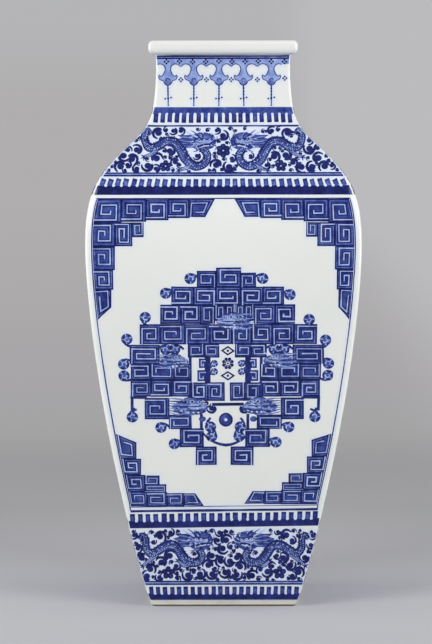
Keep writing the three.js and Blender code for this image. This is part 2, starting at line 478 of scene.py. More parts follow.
def glaze_skin_group() -> Tree:
    """Shader group for a glaze's slow waves and fine pinholes.

    Returns:
        The group, built the first time and found by its name afterwards.
    """
    if "glaze_skin" in bpy.data.node_groups:
        return bpy.data.node_groups["glaze_skin"]
    inputs = dict.fromkeys(("Roughness", "Spread", "Waves", "Pinholes"), "Float")
    tree, entry, leave = start_group("glaze_skin", inputs, {"Roughness": "Float", "Height": "Float"})
    place = add_node(tree, "TexCoord").outputs["Object"]
    wave = add_node(tree, "TexNoise", Vector=place, Scale=42.0, Detail=1.0).outputs["Fac"]
    grain = add_node(tree, "TexNoise", Vector=place, Scale=260.0, Detail=2.0).outputs["Fac"]
    pits = add_node(tree, "TexVoronoi", Vector=place, Scale=150.0).outputs["Distance"]
    dip = add_node(tree, "MapRange", Value=pits, From_Max=0.07, To_Min=-1.0, To_Max=0.0).outputs["Result"]
    swell = add_sum(tree, "MULTIPLY", wave, entry.outputs["Waves"])
    holes = add_sum(tree, "MULTIPLY", dip, entry.outputs["Pinholes"])
    centred = add_sum(tree, "SUBTRACT", grain, 0.5)
    veil = add_sum(tree, "MULTIPLY_ADD", centred, entry.outputs["Spread"], entry.outputs["Roughness"])
    tree.links.new(add_sum(tree, "ADD", swell, holes), leave.inputs["Height"])
    tree.links.new(veil, leave.inputs["Roughness"])
    return tree


def add_group(tree: Tree, group: Tree, values: dict[str, float | Four]) -> Node:
    """Places a shader group in a material.

    Args:
        tree: The material's nodes.
        group: The group.
        values: Values of its inputs.

    Returns:
        The group's node.
    """
    node = tree.nodes.new("ShaderNodeGroup")
    node.node_tree = group
    for name, value in values.items():
        node.inputs[name].default_value = value
    return node


def fresh_material(name: str) -> tuple[Material, Node]:
    """Starts a node material.

    Args:
        name: Its name.

    Returns:
        The material and its Principled BSDF.
    """
    material = bpy.data.materials.new(name)
    material.use_nodes = True
    return material, material.node_tree.nodes["Principled BSDF"]


def add_clouding(tree: Tree, colour: Colour, tint: Colour, scale: float, amount: float) -> Socket:
    """Drifts from a colour towards a tint, as finely and as far as scale and amount say."""
    values = {"Colour": linear(colour), "Tint": linear(tint), "Scale": scale, "Amount": amount}
    return add_group(tree, clouding_group(), values).outputs["Colour"]


def add_glaze_skin(tree: Tree, shader: Node, **values: float) -> None:
    """Places the glaze skin group in a material and joins it to the shader.

    Args:
        tree: The material's nodes.
        shader: Its Principled BSDF.
        values: Values of the group's inputs.
    """
    node = add_group(tree, glaze_skin_group(), values)
    bump = add_node(tree, "Bump", Strength=0.5, Distance=0.0004, Height=node.outputs["Height"])
    tree.links.new(node.outputs["Roughness"], shader.inputs["Roughness"])
    tree.links.new(bump.outputs["Normal"], shader.inputs["Normal"])


@dataclass(frozen=True)
class GlazeFinish:
    """Clear glaze over white porcelain, bluish where it lies beside the painting."""

    name: str
    body: Colour
    pooled: Colour
    bled: Colour = (210, 222, 248)
    roughness: float = 0.16
    gloss: float = 0.35

    def material(self) -> Material:
        """Builds the finish.

        Returns:
            The material.
        """
        material, shader = fresh_material(self.name)
        tree = material.node_tree
        cloud = add_clouding(tree, self.body, self.pooled, 9.0, 0.8)
        bleed = add_node(tree, "Attribute")
        bleed.attribute_name = "bleed"
        tinted = add_mix(tree, bleed.outputs["Fac"], cloud, self.bled)
        tree.links.new(tinted, shader.inputs["Base Color"])
        shader.inputs["Specular IOR Level"].default_value = self.gloss
        add_glaze_skin(tree, shader, Roughness=self.roughness, Spread=0.06, Waves=0.5, Pinholes=0.12)
        return material


@dataclass(frozen=True)
class CobaltFinish:
    """Cobalt painting under the same clear glaze."""

    name: str
    shades: tuple[tuple[float, Colour], ...] = (
        (0.0, (210, 222, 248)),
        (0.2, (172, 190, 234)),
        (0.36, (134, 154, 212)),
        (0.58, (66, 86, 160)),
        (0.8, (26, 42, 120)),
        (1.0, (5, 14, 78)),
    )
    roughness: float = 0.15
    gloss: float = 0.35

    def material(self) -> Material:
        """Builds the finish.

        Returns:
            The material.
        """
        material, shader = fresh_material(self.name)
        tree = material.node_tree
        tone = add_node(tree, "Attribute")
        tone.attribute_name = "tone"
        rim = add_node(tree, "Attribute")
        rim.attribute_name = "rim"
        stroke = add_node(tree, "UVMap")
        stroke.uv_map = "stroke"
        split = add_node(tree, "SeparateXYZ", Vector=stroke.outputs["UV"])
        away = add_sum(tree, "ABSOLUTE", add_sum(tree, "MULTIPLY_ADD", split.outputs["Y"], 2.0, -1.0))
        darkened = add_sum(tree, "MULTIPLY", add_sum(tree, "POWER", away, 3.0), rim.outputs["Fac"])
        place = add_node(tree, "TexCoord").outputs["Object"]
        blotch = add_node(tree, "TexNoise", Vector=place, Scale=190.0, Detail=3.0)
        speck = add_node(tree, "TexNoise", Vector=place, Scale=900.0, Detail=1.0)
        drift = add_sum(tree, "MULTIPLY_ADD", blotch.outputs["Fac"], 1.7, -0.85)
        grain = add_sum(tree, "MULTIPLY_ADD", speck.outputs["Fac"], 0.7, -0.35)
        inked = add_sum(tree, "MINIMUM", tone.outputs["Fac"], 0.3)
        uneven = add_sum(tree, "MULTIPLY", add_sum(tree, "ADD", drift, grain), inked)
        base = add_sum(tree, "ADD", tone.outputs["Fac"], darkened)
        colour = add_ramp(tree, add_sum(tree, "ADD", base, uneven), self.shades)
        tree.links.new(colour, shader.inputs["Base Color"])
        shader.inputs["Specular IOR Level"].default_value = self.gloss
        add_glaze_skin(tree, shader, Roughness=self.roughness, Spread=0.06, Waves=0.5, Pinholes=0.12)
        return material


@dataclass(frozen=True)
class BiscuitFinish:
    """Unglazed porcelain, burnt towards the ground where it is a foot."""

    name: str
    body: Colour
    speckled: Colour
    burnt: Colour = (112, 98, 76)
    burnt_below: float = 0.0
    burnt_fade: float = 1.2

    def material(self) -> Material:
        """Builds the finish.

        Returns:
            The material.
        """
        material, shader = fresh_material(self.name)
        tree = material.node_tree
        colour = add_clouding(tree, self.body, self.speckled, 60.0, 1.0)
        if self.burnt_below > 0:
            split = add_node(tree, "SeparateXYZ", Vector=add_node(tree, "TexCoord").outputs["Object"])
            full = self.burnt_below - self.burnt_fade
            reach = add_range(tree, split.outputs["Z"], self.burnt_below * MM, full * MM)
            colour = add_mix(tree, reach, colour, self.burnt)
        tree.links.new(colour, shader.inputs["Base Color"])
        add_glaze_skin(tree, shader, Roughness=0.62, Spread=0.2, Waves=0.3, Pinholes=0.8)
        return material


def make_piece(name: str, mesh: bmesh.types.BMesh, material: Material) -> Piece:
    """Turns a finished mesh into an object of the scene.

    Args:
        name: The object's name.
        mesh: Its mesh, which is freed.
        material: Its finish.

    Returns:
        The object.
    """
    data = bpy.data.meshes.new(name)
    mesh.to_mesh(data)
    mesh.free()
    data.shade_smooth()
    data.materials.append(material)
    piece = bpy.data.objects.new(name, data)
    bpy.context.scene.collection.objects.link(piece)
    return piece


@dataclass(frozen=True)
class Fit:
    """Fits a drawing's own heights between two heights of the vase."""

    drawn_low: float = 0.0
    drawn_high: float = 1.0
    low: float = 0.0
    high: float = 1.0

    def height(self, drawn: float) -> float:
        """Height on the vase of a height in the drawing."""
        share = (drawn - self.drawn_low) / (self.drawn_high - self.drawn_low)
        return self.low + share * (self.high - self.low)


@dataclass
class PaintedSheet:
    """Brushwork drawn flat, in millimetres across and up one side, then laid on all four sides."""

    name: str
    profile: Profile
    seed: int
    fit: Fit = Fit()
    edge_gap: float = 0.0
    wrap: float = 0.0
    bleed: float = 1.0
    base_lift: float = -0.11
    layer_lift: float = 0.018
    deviation: float = 0.02
    wobble: float = 0.0
    centre: float = 0.0
    tilt: float = 0.0
    mark_step: float = 1.5
    longest_span: float = 9.0
    wrap_step: float = 0.2
    mirror: int = 1
    mesh: bmesh.types.BMesh = field(default_factory=bmesh.new)
    marks: list[Point] = field(default_factory=list)

    def __post_init__(self) -> None:
        """Prepares the mesh's own map and attributes."""
        self.chance = random.Random(self.seed)
        self.stroke_map = self.mesh.loops.layers.uv.new("stroke")
        self.tone_layer = self.mesh.verts.layers.float.new("tone")
        self.rim_layer = self.mesh.verts.layers.float.new("rim")

    def at(self, place: Point) -> Point:
        """Place on the side of a point of the drawing."""
        across = self.centre + self.mirror * place[0]
        return across, self.fit.height(place[1]) + self.tilt * across

    def reach(self, height: float) -> float:
        """Distance from the middle at which the painting ends at a height of the side."""
        return self.profile.edge(height) + self.wrap * self.profile.corner(height) - self.edge_gap

    def _shake(self) -> float:
        """A small unevenness of the hand."""
        return self.chance.uniform(-self.wobble, self.wobble)

    def _set(self, vert: bmesh.types.BMVert, place: Point, tone: float, layer: Layer, rim: float) -> None:
        """Puts one point of a stroke in its place.

        Args:
            vert: The mesh's point.
            place: Where it goes on the side.
            tone: Strength of its cobalt.
            layer: Layer that it lies in.
            rim: How much its outline is darkened.
        """
        across, height = self.at(place)
        vert.co = (across, height, float(layer.value))
        vert[self.tone_layer] = float(tone)
        vert[self.rim_layer] = rim

    def ribbon(
        self, path: Sequence[Point], widths: float | Sequence[float], tone: float,
        layer: Layer = Layer.STROKE, rim: float = 0.0, closed: bool = False,
    ) -> None:
        """Draws a brush stroke along a path.

        Args:
            path: Points that the brush passes.
            widths: Its width, or widths spread evenly along the path.
            tone: Strength of its cobalt.
            layer: Layer that it lies in.
            rim: How much its two edges are darkened.
            closed: Whether it comes back to its start.
        """
        points = [Vector((x + self._shake(), y + self._shake())) for x, y in path]
        if closed:
            points.append(points[0].copy())
        count = len(points)
        profile = [widths] if isinstance(widths, (int, float)) else list(widths)
        shares = np.linspace(0.0, 1.0, len(profile))
        made = bmesh.ops.create_grid(
            self.mesh, x_segments=count - 1, y_segments=1, size=0.5, calc_uvs=True
        )["verts"]
        ways = [(ahead - here).normalized() for here, ahead in zip(points, points[1:])]
        before, after = (ways[-1], ways[0]) if closed else (ways[0], ways[-1])
        for index, (point, into, out) in enumerate(zip(points, [before, *ways], [*ways, after])):
            along = (into + out).normalized() if (into + out).length > 1e-6 else out
            side = Vector((-along.y, along.x))
            cosine = max(0.35, side.dot(Vector((-out.y, out.x))))
            width = float(np.interp(index / (count - 1), shares, profile))
            offset = side * (width / 2 / cosine)
            self._set(made[index], tuple(point - offset), tone, layer, rim)
            self._set(made[index + count], tuple(point + offset), tone, layer, rim)
        for start, end in zip(points, points[1:]):
            self._mark(start, end)

    def _mark(self, start: Vector, end: Vector) -> None:
        """Notes points along a line, for the tint of the glaze beside it."""
        steps = max(1, int((end - start).length / self.mark_step))
        self.marks.extend(self.at(tuple(start.lerp(end, step / steps))) for step in range(steps + 1))

    def disc(
        self, centre: Point, radius: float, tone: float, layer: Layer = Layer.STROKE,
        rim: float = 0.0, squash: float = 1.0, segments: int = 10,
    ) -> None:
        """Draws a round dab.

        Args:
            centre: Its middle.
            radius: Its radius.
            tone: Strength of its cobalt.
            layer: Layer that it lies in.
            rim: How much its outline is darkened.
            squash: Its height as a share of its width.
            segments: Sides of the round.
        """
        made = bmesh.ops.create_circle(
            self.mesh, cap_ends=True, cap_tris=True, segments=segments, radius=radius
        )["verts"]
        for index, vert in enumerate(made):
            place = (centre[0] + vert.co.x, centre[1] + vert.co.y * squash)
            self._set(vert, place, tone, layer, rim)
            for loop in vert.link_loops:
                loop[self.stroke_map].uv = (0.5, 0.5 if index == 0 else 1.0)
        spots = [centre]
        if radius > 1.2:
            spots += arc_path(centre, radius * 0.8, 0, 315, 7)
        self.marks.extend(self.at(spot) for spot in spots)

    def patch(self, corners: Sequence[Point], tone: float, layer: Layer = Layer.WASH) -> None:
        """Fills a four-cornered block.

        Args:
            corners: Lower left, lower right, upper right and upper left corner.
            tone: Strength of its cobalt.
            layer: Layer that it lies in.
        """
        made = bmesh.ops.create_grid(
            self.mesh, x_segments=1, y_segments=1, size=0.5, calc_uvs=True
        )["verts"]
        for vert, index in zip(made, (0, 1, 3, 2)):
            place = (corners[index][0] + self._shake(), corners[index][1] + self._shake())
            self._set(vert, place, tone, layer, 0.0)
        for start, end in zip(corners, (*corners[1:], corners[0])):
            self._mark(Vector(start), Vector(end))

    def shape(self, outline: Sequence[Point], tone: float, layer: Layer = Layer.WASH) -> None:
        """Fills an outline.

        Args:
            outline: Points round the shape.
            tone: Strength of its cobalt.
            layer: Layer that it lies in.
        """
        made = bmesh.ops.create_circle(
            self.mesh, cap_ends=True, cap_tris=False, segments=len(outline), radius=1.0
        )["verts"]
        for vert, place in zip(made, outline):
            self._set(vert, place, tone, layer, 0.0)
        faces = list({face for vert in made for face in vert.link_faces})
        for face in faces:
            for loop in face.loops:
                loop[self.stroke_map].uv = (0.5, 0.5)
        bmesh.ops.triangulate(self.mesh, faces=faces, quad_method="BEAUTY", ngon_method="BEAUTY")
        self.marks.extend(self.at(place) for place in outline)

    def band(
        self, low: float, high: float, tone: float, layer: Layer = Layer.WASH, rim: float = 0.0
    ) -> None:
        """Fills a level band from edge to edge.

        Args:
            low: Its lower height.
            high: Its upper height.
            tone: Strength of its cobalt.
            layer: Layer that it lies in.
            rim: How much its two edges are darkened.
        """
        middle = (low + high) / 2
        reach = max(self.reach(low), self.reach(high)) + 1
        steps = 12
        path = [(-reach + 2 * reach * step / steps, middle) for step in range(steps + 1)]
        self.ribbon(path, high - low, tone, layer, rim)

    def line(self, height: float, width: float, tone: float, inset: float = 0.0) -> None:
        """Draws a level line from edge to edge by hand.

        Args:
            height: Its height.
            width: Its width.
            tone: Strength of its cobalt.
            inset: How far it ends short of the edge.
        """
        reach = self.reach(height) - inset
        steps = 14
        path = [(-reach + 2 * reach * step / steps, height + self._shake()) for step in range(steps + 1)]
        widths = [width * self.chance.uniform(0.8, 1.2) for _ in range(8)]
        self.ribbon(path, widths, tone, Layer.LINE, 0.3)

    def curl(
        self, centre: Point, radius: float, angle: float, turn: int = 1, tone: float = 0.92,
        wind: float = 215.0,
    ) -> None:
        """Draws a comma scroll: a round ball whose tail winds about it.

        Args:
            centre: Middle of the ball.
            radius: Reach of the tail.
            angle: Direction in degrees in which the tail ends.
            turn: 1 where the tail winds anticlockwise outwards, otherwise -1.
            tone: Strength of its cobalt.
            wind: Angle in degrees over which the tail winds.
        """
        ball = radius * 0.58
        path = []
        for step in range(11):
            share = step / 10
            bearing = math.radians(angle - turn * wind * (1 - share))
            path.append(polar(centre, ball * (0.85 + 0.95 * share ** 0.65), bearing))
        self.disc(centre, ball, tone, Layer.LINE, -0.1, 0.95, 12)
        widths = [ball * share for share in (1.15, 1.05, 0.95, 0.85, 0.72, 0.4)]
        self.ribbon(path, widths, tone, Layer.LINE)

    def flower(self, centre: Point, radius: float, petals: int, tone: float = Tone.DEEP) -> None:
        """Draws a small round flower.

        Args:
            centre: Its middle.
            radius: Reach of its petals.
            petals: How many petals it has.
            tone: Strength of its cobalt.
        """
        for petal in range(petals):
            spot = polar(centre, radius * 0.62, math.radians(90 + 360 * petal / petals))
            self.disc(spot, radius * 0.42, tone, Layer.STROKE, 0.5)
        self.disc(centre, radius * 0.3, Tone.DARK, Layer.LINE)
        self.disc(centre, radius * 0.13, Tone.PALE, Layer.DETAIL, segments=6)

    def _cut(self, place: Sequence[float], facing: Sequence[float]) -> None:
        """Cuts the flat drawing along a plane, by a point of it and its normal."""
        geom = [*self.mesh.verts, *self.mesh.edges, *self.mesh.faces]
        bmesh.ops.bisect_plane(self.mesh, geom=geom, dist=1e-5, plane_co=place, plane_no=facing)

    def _lean(self, way: int) -> None:
        """Shears the flat drawing by the half-width of the side's flat part."""
        for vert in self.mesh.verts:
            vert.co.x += way * self.profile.edge(vert.co.y)

    def _slice(self) -> None:
        """Cuts the flat drawing wherever the surface bends under it."""
        heights = [vert.co.y for vert in self.mesh.verts]
        low, high = min(heights), max(heights)
        levels = self.profile.levels(low, high, self.deviation, self.longest_span)[1:-1]
        for level in (*levels, self.profile.foot_height):
            self._cut((0.0, level, 0.0), (0.0, 1.0, 0.0))
        if self.wrap > 0:
            step = self.wrap_step * self.profile.corner((low + high) / 2)
            for side in (-1, 1):
                self._lean(-side)
                for index in range(int(self.wrap / self.wrap_step) + 1):
                    self._cut((side * step * index, 0.0, 0.0), (1.0, 0.0, 0.0))
                self._lean(side)

    def _face_out(self, data: bpy.types.Mesh) -> None:
        """Gives the strokes the normals of the surface that they lie in.

        Args:
            data: The piece's mesh.
        """
        turns = [quarter_turn(side) for side in range(len(SIDES))]
        normals = []
        for vert in data.vertices:
            side = round((math.atan2(vert.co.y, vert.co.x) + math.pi / 2) / (math.pi / 2)) % 4
            normals.append(turns[side] @ self.profile.normal(turns[-side] @ vert.co / MM))
        data.normals_split_custom_set_from_vertices(normals)

    def finish(self, material: Material) -> Piece:
        """Bends the drawing onto the front, copies it to the other sides and makes the piece.

        Args:
            material: The cobalt finish.

        Returns:
            The piece, riding on the vase.
        """
        mesh = self.mesh
        mesh.normal_update()
        turned = [face for face in mesh.faces if face.normal.z < 0]
        bmesh.ops.reverse_faces(mesh, faces=turned)
        self._slice()
        bmesh.ops.triangulate(mesh, faces=mesh.faces[:], quad_method="BEAUTY", ngon_method="BEAUTY")
        for vert in mesh.verts:
            across, height, layer = vert.co
            reach = self.reach(height)
            across = min(max(across, -reach), reach)
            vert.co = self.profile.place(across, height, self.base_lift + layer * self.layer_lift)
        flat = [face for face in mesh.faces if face.calc_area() < 1e-12]
        bmesh.ops.delete(mesh, geom=flat, context="FACES")
        lone = [vert for vert in mesh.verts if not vert.link_faces]
        bmesh.ops.delete(mesh, geom=lone, context="VERTS")
        front = [*mesh.verts, *mesh.edges, *mesh.faces]
        for side in range(1, len(SIDES)):
            copied = bmesh.ops.duplicate(mesh, geom=front)["geom"]
            verts = [item for item in copied if isinstance(item, bmesh.types.BMVert)]
            bmesh.ops.rotate(mesh, verts=verts, cent=(0.0, 0.0, 0.0), matrix=quarter_turn(side))
        piece = make_piece(self.name, mesh, material)
        self._face_out(piece.data)
        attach(piece, "root")
        LOG.info("%s: %d triangles", self.name, len(piece.data.polygons))
        return piece


@dataclass
class PorcelainSkin:
    """A closed square ring of porcelain: a section swept round the vase's four sides."""

    name: str
    section: list[Row]
    replaced: tuple[str, ...]
    slot: str
    flat_columns: int = 84
    corner_columns: int = 8
    sharp_angle: float = 40.0

    def columns(self) -> list[Point]:
        """Columns of one side, from its left end to the end of its right edge.

        Returns:
            Pairs of a share of its flat part and an angle round the edge.
        """
        flats = [(2 * index / self.flat_columns - 1, 0.0) for index in range(self.flat_columns)]
        steps = range(self.corner_columns)
        return flats + [(1.0, math.pi / 2 * step / self.corner_columns) for step in steps]

    def build(self, material: Material) -> Piece:
        """Sweeps the section and makes the piece.

        Args:
            material: Its finish.

        Returns:
            The piece, riding on the vase in place of the slabs.
        """
        mesh = bmesh.new()
        columns = self.columns()
        around = len(columns) * len(SIDES)
        rows = len(self.section)
        made = bmesh.ops.create_grid(mesh, x_segments=around, y_segments=rows, size=0.5)["verts"]
        for index, vert in enumerate(made):
            row, column = divmod(index, around + 1)
            half, height, corner = self.section[row % rows]
            side, place = divmod(column % around, len(columns))
            share, angle = columns[place]
            flat = half - corner
            x = share * flat + corner * math.sin(angle)
            y = -(flat + corner * math.cos(angle))
            vert.co = quarter_turn(side) @ Vector((x, y, height)) * MM
        bmesh.ops.remove_doubles(mesh, verts=mesh.verts, dist=1e-7)
        mesh.verts.layers.float.new("bleed")
        piece = make_piece(self.name, mesh, material)
        piece.data.set_sharp_from_angle(angle=math.radians(self.sharp_angle))
        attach(piece, "root")
        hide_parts(*self.replaced)
        LOG.info("%s: %d faces", self.name, len(piece.data.polygons))
        return piece


def bleed_beside(
    pieces: Sequence[Piece], sheets: Sequence[PaintedSheet], reach: float, skin: float = 1.5
) -> None:
    """Tints the glaze beside the painting, where cobalt has run into it.

    Args:
        pieces: Glazed pieces with a bleed attribute.
        sheets: The painting.
        reach: How far the tint spreads.
        skin: Depth below the profile at which a point is no longer on the outer face.
    """
    marks = [(*mark, sheet.bleed) for sheet in sheets for mark in sheet.marks]
    tree = kdtree.KDTree(len(marks))
    for index, (across, height, _) in enumerate(marks):
        tree.insert((across, height, 0.0), index)
    tree.balance()
    for piece in pieces:
        values = piece.data.attributes["bleed"].data
        for vert, value in zip(piece.data.vertices, values):
            x, y = sorted((abs(vert.co.x) / MM, abs(vert.co.y) / MM))
            height = vert.co.z / MM
            if y < sheets[0].profile.half(height) - skin:
                continue
            across = math.copysign(x, side_sign(vert.co))
            _, nearest, distance = tree.find((across, height, 0.0))
            value.value = marks[nearest][2] * smoothstep(1 - distance / reach)


def side_sign(place: Vector) -> float:
    """Finds which half of its own side a point of the vase lies in.

    Args:
        place: The point.

    Returns:
        A number that is positive in the right half, seen from outside, and negative in the left.
    """
    if abs(place.y) >= abs(place.x):
        return place.x if place.y < 0 else -place.x
    return place.y if place.x > 0 else -place.y


@dataclass
class Slabs:
    """The glazed walls: body, shoulder and neck, each one ring of four luted slabs."""

    profile: Profile
    body_thickness: float = 7.0
    neck_thickness: float = 6.0
    inner_corner: float = 3.0
    inset: float = 0.15
    guard: float = 0.1
    glaze: GlazeFinish = GlazeFinish("glazed_porcelain", (233, 235, 230), (226, 229, 225))

    def section(
        self, low: float, high: float, thickness: float, level_low: bool = False,
        level_high: bool = False,
    ) -> list[Row]:
        """Closed section of a wall between two heights.

        Args:
            low: Height of its lower joint.
            high: Height of its upper joint.
            thickness: Thickness of the slab.
            level_low: Whether its lower end is cut level instead of square to the wall.
            level_high: Whether its upper end is cut level.

        Returns:
            Rows of half-width, height and edge rounding, up the outside and down the inside.
        """
        levels = self.profile.levels(low, high, 0.004, 2.6)
        guarded = [levels[0], low + self.guard, *levels[1:-1], high - self.guard, levels[-1]]
        rows = []
        for height in guarded:
            slope = self.profile.slope(height)
            sunk = self.inset * math.sqrt(1 + slope * slope)
            rows.append((self.profile.half(height) - sunk, height, self.profile.corner(height) - sunk))
        inside = []
        coarse = levels[:-1:5] + [levels[-1]]
        for height in coarse:
            slope = self.profile.slope(height)
            upright = 1 / math.sqrt(1 + slope * slope)
            half = self.profile.half(height) - thickness * upright
            place = height + thickness * slope * upright
            if (height == levels[0] and level_low) or (height == levels[-1] and level_high):
                half += (height - place) * slope
                place = height
            inside.append((half, place, self.inner_corner))
        return rows + inside[::-1]

    def build(self) -> list[Piece]:
        """Builds the three rings.

        Returns:
            The body, the shoulder and the neck.
        """
        material = self.glaze.material()
        crease, root, mouth = 332.5, 404.0, 438.4
        rings = (
            ("glazed_body", self.section(9.0, crease, self.body_thickness, level_low=True), "body_wall"),
            ("glazed_shoulder", self.section(crease, root, self.body_thickness), "shoulder_slab"),
            ("glazed_neck", self.section(root, mouth, self.neck_thickness, level_high=True), "neck_wall"),
        )
        pieces = []
        for name, section, slab in rings:
            nodes = tuple(f"{slab}_{side}" for side in SIDES)
            pieces.append(PorcelainSkin(name, section, nodes, "glazed_porcelain").build(material))
        return pieces


@dataclass
class Rims:
    """The thick square lip and the low foot rim."""

    profile: Profile
    bottom: float = 438.4
    top: float = 449.9
    neck_half: float = 54.0
    mouth_half: float = 47.93
    overhang: float = 5.0
    undercut: float = 5.4
    outer_round: float = 3.6
    inner_round: float = 2.0
    corner: float = 3.0
    inner_corner: float = 3.0
    neck_corner: float = 2.4
    foot_inner_half: float = 47.5
    foot_chamfer: float = 1.0
    inset: float = 0.12
    steps: int = 9
    lip_glaze: GlazeFinish = GlazeFinish("rim_glaze", (234, 234, 231), (227, 228, 225))
    foot_clay: BiscuitFinish = BiscuitFinish(
        "bare_foot", (220, 219, 212), (206, 204, 194), burnt_below=1.9,
    )

    def _arc(self, centre: Point, radii: Point, start: float, end: float, corner: float) -> list[Row]:
        """Rows of half-width, height and edge rounding along a curved edge of the section."""
        turns = arc_path((0.0, 0.0), 1.0, start, end, self.steps)
        return [(centre[0] + radii[0] * x, centre[1] + radii[1] * y, corner) for x, y in turns]

    def build_lip(self) -> Piece:
        """Builds the mouth rim.

        Returns:
            The lip.
        """
        under = (self.neck_half, self.bottom + self.undercut)
        shoulder = self.neck_half + self.overhang - self.outer_round
        upper = (shoulder, self.top - self.outer_round)
        inner = (self.mouth_half + self.inner_round, self.top - self.inner_round)
        rows = [
            (self.mouth_half, self.bottom, self.inner_corner),
            (self.neck_half - self.inset, self.bottom, self.neck_corner),
            *self._arc(under, (self.overhang, self.undercut), -50, 0, self.corner),
            *self._arc(upper, (self.outer_round,) * 2, 0, 90, self.corner),
            *self._arc(inner, (self.inner_round,) * 2, 90, 180, self.inner_corner),
        ]
        skin = PorcelainSkin("glazed_lip", rows, ("mouth_rim",), "rim_glaze", flat_columns=40)
        return skin.build(self.lip_glaze.material())

    def build_foot(self) -> Piece:
        """Builds the foot rim.

        Returns:
            The foot.
        """
        rest_half = self.profile.foot_top_half - self.profile.foot_splay - self.inset
        rounding = self.profile.foot_edge_round
        corner = self.profile.band_corner
        height = self.profile.foot_height
        full = self.profile.foot_top_half - self.inset
        wall = [
            (rest_half + rounding + (full - rest_half - rounding) * step / 4,
             rounding + (height - rounding) * step / 4, corner)
            for step in range(1, 5)
        ]
        rows = [
            (self.foot_inner_half + self.foot_chamfer, 0.0, self.inner_corner),
            *self._arc((rest_half, rounding), (rounding, rounding), -90, 0, corner),
            *wall,
            (self.foot_inner_half, height, self.inner_corner),
            (self.foot_inner_half, self.foot_chamfer, self.inner_corner),
        ]
        skin = PorcelainSkin("biscuit_foot", rows, ("foot_rim",), "bare_foot", flat_columns=40)
        return skin.build(self.foot_clay.material())


@dataclass(frozen=True)
class Dentil:
    """A solid line with teeth, which edges the painted bands."""

    solid_edge: float
    solid_root: float
    tip: float
    pitch: float
    fan: float = 0.5
    ink: float = 1.0
    tooth_tone: float = 0.62
    tooth_share: float = 0.62

    def _reach(self, sheet: PaintedSheet, height: float) -> float:
        """Half-width that the teeth are spread over at a height."""
        root = sheet.reach(self.solid_root)
        return root + self.fan * (sheet.reach(height) - root)

    def draw(self, sheet: PaintedSheet) -> None:
        """Draws the line and its teeth.

        Args:
            sheet: The side to draw on.
        """
        low, high = sorted((self.solid_edge, self.solid_root))
        sheet.band(low, high, self.ink, Layer.STROKE, -0.08)
        reach = self._reach(sheet, self.solid_root)
        count = round(2 * reach / self.pitch)
        away = 1 if self.tip > self.solid_root else -1
        step = (self.tip - self.solid_root) / 3
        heights = [self.solid_root - away * 0.2, self.solid_root + step, self.tip - step, self.tip]
        for tooth in range(count):
            share = (2 * tooth + 1) / count - 1
            lean = sheet.chance.uniform(-0.06, 0.06) * self.pitch
            size = sheet.chance.uniform(0.93, 1.07)
            path = [(share * (self._reach(sheet, z) - 0.2) + lean, z) for z in heights]
            widths = [2 * self._reach(sheet, z) / count * self.tooth_share * size for z in heights]
            path[-1] = (path[-1][0], path[-1][1] + sheet.chance.uniform(-0.35, 0.35))
            tone = self.tooth_tone + sheet.chance.uniform(-0.06, 0.08)
            sheet.ribbon(path, widths, tone, Layer.LINE, 0.34)
            sheet.ribbon(path[-2:], widths[-1], tone + 0.14, Layer.DETAIL, 0.2)
            slit = share + 1 / count
            if tooth + 1 < count:
                spot = (slit * (reach - 0.2), self.solid_root)
                radius = reach / count * (1 - self.tooth_share) * 1.02
                sheet.disc(spot, radius, Tone.RESERVE, Layer.DETAIL)


